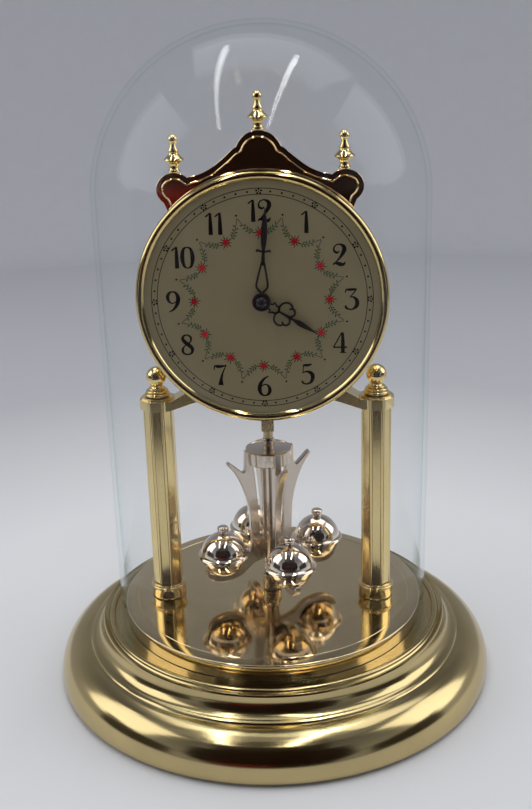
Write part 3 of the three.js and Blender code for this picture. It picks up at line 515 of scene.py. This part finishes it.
# ------------------------------------------------------------------ dial
# Pen strokes (x, y, width) of the numerals in a box one unit high.
DIGITS = {
    "0": [
        [
            (0.33, 0.985, 0.04), (0.16, 0.88, 0.09), (0.09, 0.5, 0.14), (0.16, 0.12, 0.09),
            (0.33, 0.015, 0.04), (0.5, 0.12, 0.09), (0.57, 0.5, 0.14), (0.5, 0.88, 0.09),
            (0.33, 0.985, 0.04),
        ],
    ],
    "1": [
        [(0.04, 0.83, 0.04), (0.13, 0.89, 0.05), (0.25, 1.0, 0.03)],
        [(0.27, 1.0, 0.07), (0.27, 0.5, 0.12), (0.27, 0.0, 0.14)],
    ],
    "2": [
        [
            (0.34, 0.66, 0.03), (0.24, 0.6, 0.07), (0.12, 0.66, 0.07), (0.09, 0.8, 0.05),
            (0.18, 0.94, 0.04), (0.36, 0.985, 0.05), (0.54, 0.88, 0.12), (0.56, 0.7, 0.14),
            (0.42, 0.44, 0.09), (0.2, 0.18, 0.04), (0.05, 0.04, 0.04),
        ],
        [
            (0.05, 0.07, 0.03), (0.18, 0.12, 0.08), (0.36, 0.07, 0.13), (0.52, 0.05, 0.09),
            (0.62, 0.17, 0.03),
        ],
    ],
    "3": [
        [(0.05, 0.8, 0.03), (0.09, 0.94, 0.05), (0.3, 0.95, 0.09), (0.57, 0.97, 0.05)],
        [(0.57, 0.98, 0.04), (0.44, 0.8, 0.04), (0.27, 0.6, 0.03)],
        [
            (0.27, 0.6, 0.03), (0.46, 0.58, 0.07), (0.59, 0.4, 0.13), (0.57, 0.18, 0.13),
            (0.4, 0.03, 0.06), (0.22, 0.02, 0.05), (0.08, 0.1, 0.07), (0.06, 0.2, 0.06),
        ],
    ],
    "4": [
        [(0.44, 1.0, 0.04), (0.24, 0.64, 0.04), (0.04, 0.29, 0.04)],
        [(0.03, 0.28, 0.05), (0.35, 0.28, 0.05), (0.68, 0.28, 0.05)],
        [(0.47, 1.0, 0.08), (0.48, 0.5, 0.12), (0.48, 0.0, 0.12)],
        [(0.34, 0.015, 0.03), (0.5, 0.015, 0.03), (0.64, 0.015, 0.03)],
    ],
    "5": [
        [(0.14, 0.95, 0.06), (0.32, 0.94, 0.09), (0.53, 0.99, 0.04)],
        [(0.14, 0.97, 0.04), (0.12, 0.78, 0.03), (0.1, 0.57, 0.03)],
        [
            (0.1, 0.57, 0.03), (0.28, 0.63, 0.06), (0.5, 0.54, 0.12), (0.57, 0.34, 0.13),
            (0.48, 0.11, 0.09), (0.28, 0.01, 0.05), (0.11, 0.06, 0.06), (0.06, 0.17, 0.07),
        ],
    ],
    "6": [
        [
            (0.55, 0.98, 0.03), (0.34, 0.86, 0.07), (0.15, 0.6, 0.12), (0.1, 0.32, 0.14),
            (0.18, 0.09, 0.09), (0.34, 0.015, 0.05), (0.52, 0.09, 0.09), (0.59, 0.28, 0.12),
            (0.53, 0.48, 0.08), (0.38, 0.57, 0.04), (0.22, 0.5, 0.04), (0.13, 0.38, 0.03),
        ],
    ],
    "7": [
        [
            (0.03, 0.76, 0.03), (0.07, 0.95, 0.05), (0.22, 0.93, 0.11), (0.42, 0.94, 0.08),
            (0.63, 0.985, 0.03),
        ],
        [(0.62, 0.98, 0.03), (0.46, 0.66, 0.05), (0.36, 0.32, 0.1), (0.33, 0.0, 0.18)],
    ],
    "8": [
        [
            (0.33, 0.985, 0.04), (0.17, 0.92, 0.07), (0.13, 0.77, 0.11), (0.25, 0.61, 0.13),
            (0.43, 0.46, 0.13), (0.56, 0.3, 0.12), (0.53, 0.11, 0.08), (0.34, 0.015, 0.05),
            (0.15, 0.09, 0.07), (0.1, 0.25, 0.09), (0.19, 0.42, 0.04), (0.38, 0.55, 0.04),
            (0.51, 0.7, 0.06), (0.5, 0.88, 0.07), (0.33, 0.985, 0.04),
        ],
    ],
}
# A nine is a six upside down.
DIGITS["9"] = [[(0.67 - x, 1.0 - y, w) for x, y, w in DIGITS["6"][0]]]
DIGIT_WIDTH, ONE_WIDTH = 0.66, 0.44
NUMERAL_HEIGHT, NUMERAL_R = 8.9, 37.1
PEN_WEIGHT = 1.42  # how much bolder the print is than the strokes above
TRACK_OUTER, TRACK_INNER = 46.15, 43.7
ROSE_R, CUSP_R = 28.2, 35.2
PRINT_BACK, PRINT_FRONT = DIAL_FRONT - 0.02, DIAL_FRONT + 0.05
DOT_R, LINE_HALF = 0.42, 0.14


def dot(shape, x, y, r, front=PRINT_FRONT, sides=10):
    """Round spot of ink."""
    ring = arc(x, y, r, r, 0, 360, sides)[:-1]
    shape.join(loft([flat(ring, z) for z in (PRINT_BACK, front)]))


def clock_xy(r, angle):
    """Point on the dial at a radius and an angle in degrees from twelve."""
    a = math.radians(angle)
    return r * math.sin(a), r * math.cos(a)


def numeral(shape, text, x, y):
    """A number centred on a point of the dial."""
    high = NUMERAL_HEIGHT
    widths = [ONE_WIDTH if c == "1" else DIGIT_WIDTH for c in text]
    left = -sum(widths) / 2
    for c, width in zip(text, widths):
        for line in DIGITS[c]:
            points = [
                (x + (left + px) * high, y + (py - 0.5) * high, w * high * PEN_WEIGHT)
                for px, py, w in line
            ]
            stroke(shape, points, PRINT_BACK, PRINT_FRONT)
        left += width


def festoon(hour, t):
    """Point on the garland under an hour; t runs from -1 to 1 between its two cusps."""
    r = ROSE_R + (CUSP_R - ROSE_R) * abs(t) ** 2.6
    return clock_xy(r, 30 * hour + 15 * math.copysign(abs(t) ** 0.85, t) * 0.985)


def clover(shape, r, angle):
    """Five dots round a sixth, which mark an hour on the minute track."""
    dot(shape, *clock_xy(r, angle), 0.26)
    for k in range(5):
        a = math.radians(72 * k)
        dot(shape, *clock_xy(r + 0.95 * math.cos(a), angle + 1.3 * math.sin(a)), 0.43)


def rose(petals, thorns, hour):
    """Red flower of five petals with short dark spikes round it, each layer a little proud of the last."""
    cx, cy = clock_xy(ROSE_R, 30 * hour)
    dot(petals, cx, cy, 0.55, PRINT_FRONT + 0.02, 8)
    for k in range(5):
        a = math.radians(72 * k + 30 * hour + 11)
        dot(petals, cx + 0.92 * math.cos(a), cy + 0.92 * math.sin(a), 0.58, PRINT_FRONT + 0.01, 9)
    for k in range(10):
        a = math.radians(36 * k + 13 * hour)
        reach = 2.9 if k % 2 else 2.3
        root = (cx + 1.3 * math.cos(a), cy + 1.3 * math.sin(a), 0.5)
        tip = (cx + reach * math.cos(a), cy + reach * math.sin(a), 0.2)
        stroke(thorns, [root, tip], PRINT_BACK, PRINT_FRONT - 0.01, 1)
    dot(thorns, cx, cy, 0.28, PRINT_FRONT + 0.03, 7)


def sprig(shape, hour, t, side, lean):
    """One small leaf beside the garland's line."""
    x, y = festoon(hour, t)
    nx, ny = festoon(hour, t + side * 0.1)
    length = math.hypot(nx - x, ny - y)
    ux, uy = (nx - x) / length, (ny - y) / length
    a, b = ux * 0.62 - uy * lean * 0.8, uy * 0.62 + ux * lean * 0.8
    outline = ((0.3, 0.15), (0.85, 0.56), (1.55, 0.1))
    leaf = [(x + a * reach, y + b * reach, width) for reach, width in outline]
    stroke(shape, leaf, PRINT_BACK, PRINT_FRONT + 0.005, 3)


def track(shape):
    """Two thin circles with a dot for each minute and a clover for each hour between them."""
    for r in (TRACK_OUTER, TRACK_INNER):
        inside, outside = r - LINE_HALF, r + LINE_HALF
        back = [(inside, PRINT_BACK), (outside, PRINT_BACK)]
        front = [(outside, PRINT_FRONT), (inside, PRINT_FRONT)]
        shape.join(lathe(back + front, 200))
    middle = (TRACK_OUTER + TRACK_INNER) / 2
    for minute in range(60):
        if minute % 5:
            dot(shape, *clock_xy(middle, 6 * minute), DOT_R)
        else:
            clover(shape, middle, 6 * minute)


def dial():
    """The plain face and, just proud of it, its print in four inks."""
    face = [(3.1, 15.2), (49.4, 15.2), (49.6, 15.35), (49.6, 15.85), (49.4, 16.0), (3.1, 16.0)]
    piece("dial_plate_fine", turned_head(face, 200), "dial", "stand", "dial", "dial_plate")
    black, olive, red, green = Shape(), Shape(), Shape(), Shape()
    for hour in range(1, 13):
        numeral(black, str(hour), *clock_xy(NUMERAL_R, 30 * hour))
    track(black)
    for hour in range(12):
        line = [(*festoon(hour, t / 12), 0.24) for t in range(-12, 13)]
        stroke(olive, line, PRINT_BACK, PRINT_FRONT - 0.01, 3)
        dot(black, *clock_xy(CUSP_R + 1.3, 30 * hour + 15), DOT_R)
        rose(red, olive, hour)
        for side in (-1, 1):
            for k in range(8):
                sprig(green, hour, side * (0.33 + 0.065 * k), side, 1 if k % 2 else -1)
    prints = (
        ("print_black", black, "ink"),
        ("print_garland", olive, "olive_ink"),
        ("print_roses", red, "red_ink"),
        ("print_leaves", green, "green_ink"),
    )
    for name, shape, ink in prints:
        piece(name, shape.moved(DIAL), ink, "stand", "dial")


# ------------------------------------------------------------------ hands
MINUTE_ANGLE, HOUR_ANGLE = 3.8, 121.6  # degrees from twelve
MINUTE_BLADE, HOUR_BLADE = (18.95, 19.35), (17.65, 18.05)  # back and front of each hand's strokes


def on_dial(angle):
    return DIAL @ Matrix.Rotation(-math.radians(angle), 4, "Z")


def minute_hand():
    """A drop-shaped loop, a small crosspiece and a long leaf-shaped blade."""
    shape = lathe([(1.4, 18.9), (3.7, 18.9), (3.9, 19.05), (3.9, 19.25), (3.7, 19.4), (1.4, 19.4)], 48)
    strokes = []
    for s in (-1, 1):
        strokes.append([
            (s * 0.2, 4.0, 0.9), (s * 1.7, 5.4, 0.9), (s * 2.35, 7.0, 0.9), (s * 1.9, 10.0, 0.85),
            (s * 1.2, 13.4, 0.8), (s * 0.45, 16.6, 0.9),
        ])
        strokes.append([(0, 21.0, 0.9), (s * 1.4, 21.2, 0.85), (s * 2.5, 21.5, 1.0), (s * 2.9, 20.8, 0.5)])
    strokes.append([
        (0, 15.2, 0.5), (0, 17, 1.5), (0, 19.6, 1.3), (0, 21.8, 1.3),
        (0, 24.5, 2.2), (0, 28.5, 2.6), (0, 33, 2.0), (0, 39, 0.15),
    ])
    for points in strokes:
        stroke(shape, points, *MINUTE_BLADE)
    return shape


def hour_hand():
    """Two small scrolls at the hub, two loops and two lobes above them, and a short blade."""
    shape = lathe([(2.3, 17.6), (3.7, 17.6), (3.85, 17.75), (3.85, 17.95), (3.7, 18.1), (2.3, 18.1)], 48)
    strokes = []
    for s in (-1, 1):
        strokes.append([(s * 1.0, 3.2, 0.8), (s * 1.3, 4.6, 0.75), (s * 2.7, 4.9, 0.35)])
        strokes.append([(s * 2.6, 4.9, 0.5), (s * 1.7, 6.0, 0.75), (s * 1.5, 7.2, 0.75), (s * 0.4, 8.3, 0.8)])
        strokes.append([
            (s * 0.2, 8.2, 0.8), (s * 1.9, 7.6, 0.8), (s * 4.1, 8.3, 0.8), (s * 5.2, 10.2, 0.85),
            (s * 4.7, 12.0, 0.85), (s * 3.6, 12.3, 0.8), (s * 3.1, 11.5, 0.6),
        ])
        strokes.append([
            (s * 0.4, 13.6, 0.8), (s * 1.7, 14.5, 0.85), (s * 3.2, 14.2, 0.85),
            (s * 3.9, 13.0, 0.8), (s * 3.5, 12.1, 0.6),
        ])
    strokes.append([
        (0, 7.6, 0.7), (0, 10, 0.9), (0, 13.6, 1.3), (0, 15.4, 1.0),
        (0, 18, 2.2), (0, 21, 1.9), (0, 27.4, 0.15),
    ])
    for points in strokes:
        stroke(shape, points, *HOUR_BLADE)
    return shape


def hands():
    minute = minute_hand().moved(on_dial(MINUTE_ANGLE))
    piece("minute_hand_fine", minute, "black_paint", "minute_works", "black_paint", "minute_hand")
    hour = hour_hand().moved(on_dial(HOUR_ANGLE))
    piece("hour_hand_fine", hour, "black_paint", "hour_works", "black_paint", "hour_hand")
    cap = [(1.35, 19.7), (2.1, 19.7), (2.2, 19.9), (2.15, 20.7), (1.6, 21.3), (0.8, 21.55), (0, 21.6)]
    cap += [(0, 20.5), (1.35, 20.5)]
    piece("hand_cap_fine", turned_head(cap, 40), "black_paint", "minute_works", "black_paint", "hand_cap")


# ------------------------------------------------------------------ crest and finials
FINIAL_Y = -8.8
FINIAL_FEET = (("left", -34.7, 229.5), ("middle", 0, 245.6), ("right", 34.7, 229.5))


def crest_outline():
    """Middle lobe, a long dip each side of it, an end lobe at each side and the bezel's curve below."""
    right = (
        arc(0, 58.5, 9.75, 9.8, 90, 20, 14)[:-1]
        + spline([(9.2, 61.85), (10.7, 61.0), (14.6, 57.6), (20, 53.6), (25, 51.3), (28.6, 50.6)], 6)[:-1]
        + arc(35, 45.4, 7.6, 6.8, 136, -52, 26)
    )
    left = [(-x, y) for x, y in right[1:]]
    return right[::-1] + left + arc(0, 0, 50.5, 50.5, 137.5, 42.5, 40)


def crest():
    """Mirror-bright plate with a fine raised bead that follows its edge."""
    outline = crest_outline()
    back, front = 8.0, 9.3
    steps = [
        (0, back), (0, front - 0.12), (0.12, front), (1.9, front), (2.1, front), (2.25, front + 0.22),
        (2.45, front + 0.32), (2.65, front + 0.22), (2.8, front), (3.0, front),
    ]
    plate = loft([flat(inset(outline, d) if d else outline, z) for d, z in steps])
    piece("crest_fine", plate.moved(DIAL), "crest", "stand", "brass", "crest", crease=40)


def finials():
    """Turned finials with a waist, a flange, an urn and a ball."""
    profile = [
        (0, 0), (2.5, 0), (2.65, 0.2), (2.6, 0.5), (2.25, 0.85), (1.95, 1.35), (1.85, 1.9), (1.95, 2.6),
        (2.15, 3.1), (2.5, 3.6), (3.2, 4.1), (3.9, 4.45), (4.2, 4.7), (4.25, 4.95), (4.1, 5.25), (3.5, 5.85),
        (2.8, 6.5), (2.25, 7.1), (2.0, 7.5), (1.95, 7.7), (2.1, 7.95), (2.18, 8.3), (2.1, 8.8), (1.75, 9.5),
        (1.4, 10.2), (1.15, 10.8), (1.1, 11.15),
    ]
    profile += arc(0, 13, 2.05, 2.05, -58, 90, 16)
    for side, x, foot in FINIAL_FEET:
        shape = lathe(profile, 48).moved(Matrix.Translation((x, FINIAL_Y, foot)))
        piece(f"finial_{side}_fine", shape, "polished", "stand", "brass", f"finial_{side}")


# ------------------------------------------------------------------ pendulum
def arm():
    """One leaf arm with rounded edges: radius along x, height along z, and a hook that holds its ball."""
    hook = arc(BALL_ORBIT, BALL_Z, BALL_R + 0.3, BALL_R + 0.3, 200, 320, 26)
    collar = spline([(11.9, 97.4), (12.1, 96.6), (12.7, 96.1), (13.4, 96.5)], 5)[:-1]
    spur = [(13.4, 96.5), (18.6, 101.4), (19.2, 101.7), (19.9, 101.4), (20.1, 100.7)]
    leg = spline([
        (20.1, 100.7), (16.6, 96.0), (13.8, 90.0), (11.7, 83.5),
        (10.4, 76.5), (9.9, 68.0), (9.8, 60.5), (11.0, 56.3),
    ], 7)
    foot = spline([(32.2, 50.6), (31.2, 47.6), (28, 45.0), (22, 44.1), (15, 46.0), (9, 50.6), (3, 52.2)], 6)
    window = spline([(3, 60.5), (5.2, 63.5), (6.1, 70), (6.5, 80), (7.1, 90), (8.0, 99.8)], 6)
    clockwise = [(7.5, 105.9), (11.4, 105.9)] + collar + spur + leg[1:-1] + hook
    clockwise += [(32.1, 51.3), (32.2, 50.6)] + foot + window
    return prism(clockwise[::-1], -1.5, 1.5, 0.3).moved(Matrix.Rotation(math.pi / 2, 4, "X"))


def drum_flutes(a, z):
    """Shallow vertical flutes round the drum's side."""
    return -0.05 * abs(math.sin(9 * a)) ** 0.7 if 99.6 < z < 105.6 else 0.0


def stem_flutes(a, z):
    """Six hollows down the stem above its plain foot."""
    return -0.10 * abs(math.sin(3 * a)) if z > 45 else 0.0


def pendulum_frame():
    """Drum, fluted stem, hanging collar and four leaf arms."""
    drum = [
        (0, 99.4), (9.9, 99.4), (10.3, 99.7), (10.4, 100.2), (10.4, 102.5), (10.4, 105.2), (10.4, 105.7),
        (10.3, 106.0), (9.9, 106.3), (9.5, 106.3), (9.3, 106.1), (9.2, 105.95), (6, 106.25), (3, 106.4),
        (0, 106.4),
    ]
    stem = [(0, 37.8), (1.7, 37.8), (2.3, 38.5), (2.4, 43.4), (3.0, 44.2), (3.5, 45.2)]
    stem += [(3.5, 99.6), (0, 99.6)]
    collar = [
        (1.5, 106.8), (1.5, 105.0), (2.5, 105.0), (2.3, 105.9), (2.2, 107.2), (2.5, 107.6), (2.75, 108.2),
        (2.75, 110.0), (2.5, 110.5), (1.5, 110.5),
    ]
    shape = lathe(drum, 192, drum_flutes).join(lathe(stem, 96, stem_flutes)).join(lathe(collar, 48))
    for i in range(4):
        shape.join(arm().moved(Matrix.Rotation(i * math.pi / 2, 4, "Z")))
    return shape.moved(Matrix.Rotation(PENDULUM_TURN, 4, "Z"))


def ball():
    """Two half shells, a flange where they meet and a small cap on top."""
    profile = (
        [(0, -BALL_R)]
        + arc(0, 0, BALL_R, BALL_R, -88, -5, 30)
        + [(11.3, -0.75), (11.55, -0.55), (11.6, -0.3), (11.4, -0.05), (11.6, 0.2), (11.5, 0.5), (11.1, 0.75)]
        + arc(0, 0, BALL_R, BALL_R, 7, 79, 26)
        + [(1.85, 10.5), (1.8, 11.0), (2.3, 11.3), (2.6, 11.7)]
        + [(2.6, 12.9), (2.35, 13.4), (1.7, 13.75), (0, 13.8)]
    )
    return lathe(profile)


def pendulum():
    shape, node = pendulum_frame(), "pendulum_frame"
    piece(f"{node}_fine", shape, "leaf", "pendulum", "champagne_plate", node, crease=30)
    for i in range(4):
        a = PENDULUM_TURN + i * math.pi / 2
        place = Matrix.Translation((BALL_ORBIT * math.cos(a), BALL_ORBIT * math.sin(a), BALL_Z))
        shape, node = ball().moved(place), f"pendulum_ball_{i + 1}"
        piece(f"{node}_fine", shape, "champagne", "pendulum", "champagne_plate", node, crease=40)
    finish_cad("pendulum_hanger", "bronze")
    finish_cad("suspension_block", "bronze")


# ------------------------------------------------------------------ hidden works
WORKS = {
    "white_plastic": ("centre_wheel", "minute_wheel", "hour_wheel"),
    "black_plastic": ("movement_front", "movement_housing", "drive_housing", "motor_unit"),
    "steel": (
        "minute_arbor", "motor_pinion", "quartz_crystal",
        "contact_positive", "contact_negative", "pendulum_magnet",
    ),
    "copper": ("stepper_coil", "drive_coil"),
    "board": ("circuit_board",),
    "cell": ("battery",),
}


def works():
    for material, nodes in WORKS.items():
        for node in nodes:
            finish_cad(node, material)


# ------------------------------------------------------------------ studio
WALL = (0.50, 0.505, 0.535)
TABLE = (0.74, 0.745, 0.76)
# Table colour by distance from the clock: pale, then greying from 0.2 m out to the wall's grey at 0.45 m; the
# start of the greying is painted shade.
TABLE_COLORS_AND_SHADE = ((0.0, TABLE), (0.2, TABLE), (0.32, near(TABLE, 0.84)), (0.45, WALL))
STRIP_WIDTH, STRIP_POWER = 0.036, 1.73


def table_top():
    """Pale table whose far part is the same grey as the wall behind it; the greying starts 0.2 m out, and its
    near part is painted shade round the clock.
    """
    n = Nodes("studio_table")
    shader = n.add("ShaderNodeBsdfPrincipled", Metallic=0.0, Roughness=0.5)
    place = n.add("ShaderNodeTexCoord")
    reach = n.add("ShaderNodeVectorMath", operation="LENGTH")
    n.link(place.outputs["Object"], reach.inputs[0])
    n.link(n.ramp(reach.outputs["Value"], TABLE_COLORS_AND_SHADE), shader.inputs["Base Color"])
    n.link(n.bump(n.noise(200.0), 0.02, 0.0003), shader.inputs["Normal"])
    return n.surface(shader)


def bowl():
    """Table that curves up into a grey wall all round, just under the clock's foot."""
    wall = solid("studio_wall", (WALL, near(WALL, 0.98)), (0.8, 0.9), 200, 0.02)
    floor = [(0, 0), (300, 0), (600, 0), (1050, 0)]
    back = arc(1050, 2400, 550, 2400, -90, 0, 48)
    for name, profile, material in (("studio_floor", floor, table_top()), ("studio_back", back, wall)):
        rings = turned_rings([(r, z - 0.05) for r, z in profile], 96)
        shape = loft(rings, capped=False)
        add_mesh(name, metres(shape.verts), shape.faces, material)


def area_light(name, place, size, power):
    light = bpy.data.lights.new(name, "AREA")
    light.shape = "RECTANGLE"
    light.size, light.size_y = size
    light.energy = power
    obj = bpy.data.objects.new(name, light)
    obj.location = place
    bpy.context.scene.collection.objects.link(obj)
    return obj


def soft_box(name, place, aim, size, power):
    """Large light turned towards a point."""
    obj = area_light(name, place, size, power)
    obj.rotation_mode = "QUATERNION"
    obj.rotation_quaternion = (Vector(aim) - Vector(place)).to_track_quat("-Z", "Y")


def strip(name, start, end):
    """Long thin ceiling light between two points, shining down."""
    start, end = Vector(start), Vector(end)
    middle = (start + end) / 2
    obj = area_light(name, middle, (STRIP_WIDTH, (end - start).length), STRIP_POWER)
    along = (end - start).normalized()
    across = along.cross(Vector((0, 0, 1))).normalized()
    turn = Matrix((across, along, across.cross(along))).transposed().to_4x4()
    obj.matrix_world = Matrix.Translation(middle) @ turn


def card(name, corners, color):
    """Coloured card that only mirror-like surfaces see."""
    n = Nodes(name)
    shader = n.add("ShaderNodeBsdfDiffuse", Roughness=1.0)
    n.link(n.clouds(3.0, color, near(color, 0.6)), shader.inputs["Color"])
    obj = add_mesh(name, corners, [(0, 1, 2, 3)], n.surface(shader))
    obj.visible_camera = False
    obj.visible_diffuse = False
    obj.visible_shadow = False
    obj.visible_transmission = False


def upright(start, end, z0, z1):
    """Corners of a standing card over a line on the table."""
    return [(*start, z0), (*end, z0), (*end, z1), (*start, z1)]


def sloping(low, high):
    """Corners of a card centred on the clock, from (half width, depth, height) at its two edges."""
    (half_0, y0, z0), (half_1, y1, z1) = low, high
    return [(-half_0, y0, z0), (half_0, y0, z0), (half_1, y1, z1), (-half_1, y1, z1)]


def studio():
    bowl()
    world = bpy.data.worlds.new("studio_air")
    bpy.context.scene.world = world
    world.use_nodes = True
    air = world.node_tree.nodes["Background"]
    air.inputs["Color"].default_value = (0.72, 0.76, 0.86, 1)
    air.inputs["Strength"].default_value = 0.30
    soft_box("left_box", (-1.1, -0.1, 0.7), (0, 0, 0.12), (0.9, 1.0), 4.8)
    soft_box("right_box", (1.1, 0.1, 0.7), (0, 0, 0.12), (0.9, 1.0), 5)
    soft_box("top_box", (0.1, 0.5, 1.5), (0, 0, 0.1), (1.6, 0.9), 6)
    strip("ceiling_strip_left", (-0.38, -0.636, 1.012), (-0.192, 0.414, 1.012))
    strip("ceiling_strip_right", (0.131, -0.666, 1.012), (0.222, 0.276, 1.012))
    card("dark_front", upright((-0.85, -1.0), (0.85, -1.0), -0.02, 0.9), (0.035, 0.02, 0.016))
    card("dark_above", sloping((0.6, -1.0, 0.9), (0.45, -0.35, 1.45)), (0.06, 0.045, 0.035))
    card("dark_ground", sloping((0.8, -1.0, 0.001), (0.5, -0.3, 0.001)), (0.04, 0.03, 0.025))
    card("red_card", upright((-0.5, -0.98), (0.02, -0.98), 0.01, 0.108), (0.26, 0.022, 0.014))
    for side in (-1, 1):
        x = side * 0.8
        card(f"dark_side_{side + 2}", upright((x, -0.75), (x, -0.05), 0.0, 0.30), (0.10, 0.085, 0.07))


def camera():
    """Close view from near the height of the dome's top, looking down, a little from the right and tilted."""
    yaw, pitch, roll = 0.066, -0.320, -0.031
    data = bpy.data.cameras.new("camera")
    data.sensor_width = 36
    data.lens = 47.76119
    data.shift_x, data.shift_y = 0.0058096, 0.0012361
    obj = bpy.data.objects.new("camera", data)
    bpy.context.scene.collection.objects.link(obj)
    forward = Vector((-math.sin(yaw) * math.cos(pitch), math.cos(yaw) * math.cos(pitch), math.sin(pitch)))
    level_right = Vector((math.cos(yaw), math.sin(yaw), 0))
    level_up = level_right.cross(forward)
    right = level_right * math.cos(roll) + level_up * math.sin(roll)
    up = level_up * math.cos(roll) - level_right * math.sin(roll)
    turn = Matrix((right, up, -forward)).transposed().to_4x4()
    obj.matrix_world = Matrix.Translation((0.02725, -0.45213, 0.27589)) @ turn
    bpy.context.scene.camera = obj


base()
dome()
columns()
case()
dial()
hands()
crest()
finials()
pendulum()
works()
studio()
camera()
bpy.context.scene.view_settings.view_transform = "Standard"

bpy.context.view_layer.update()
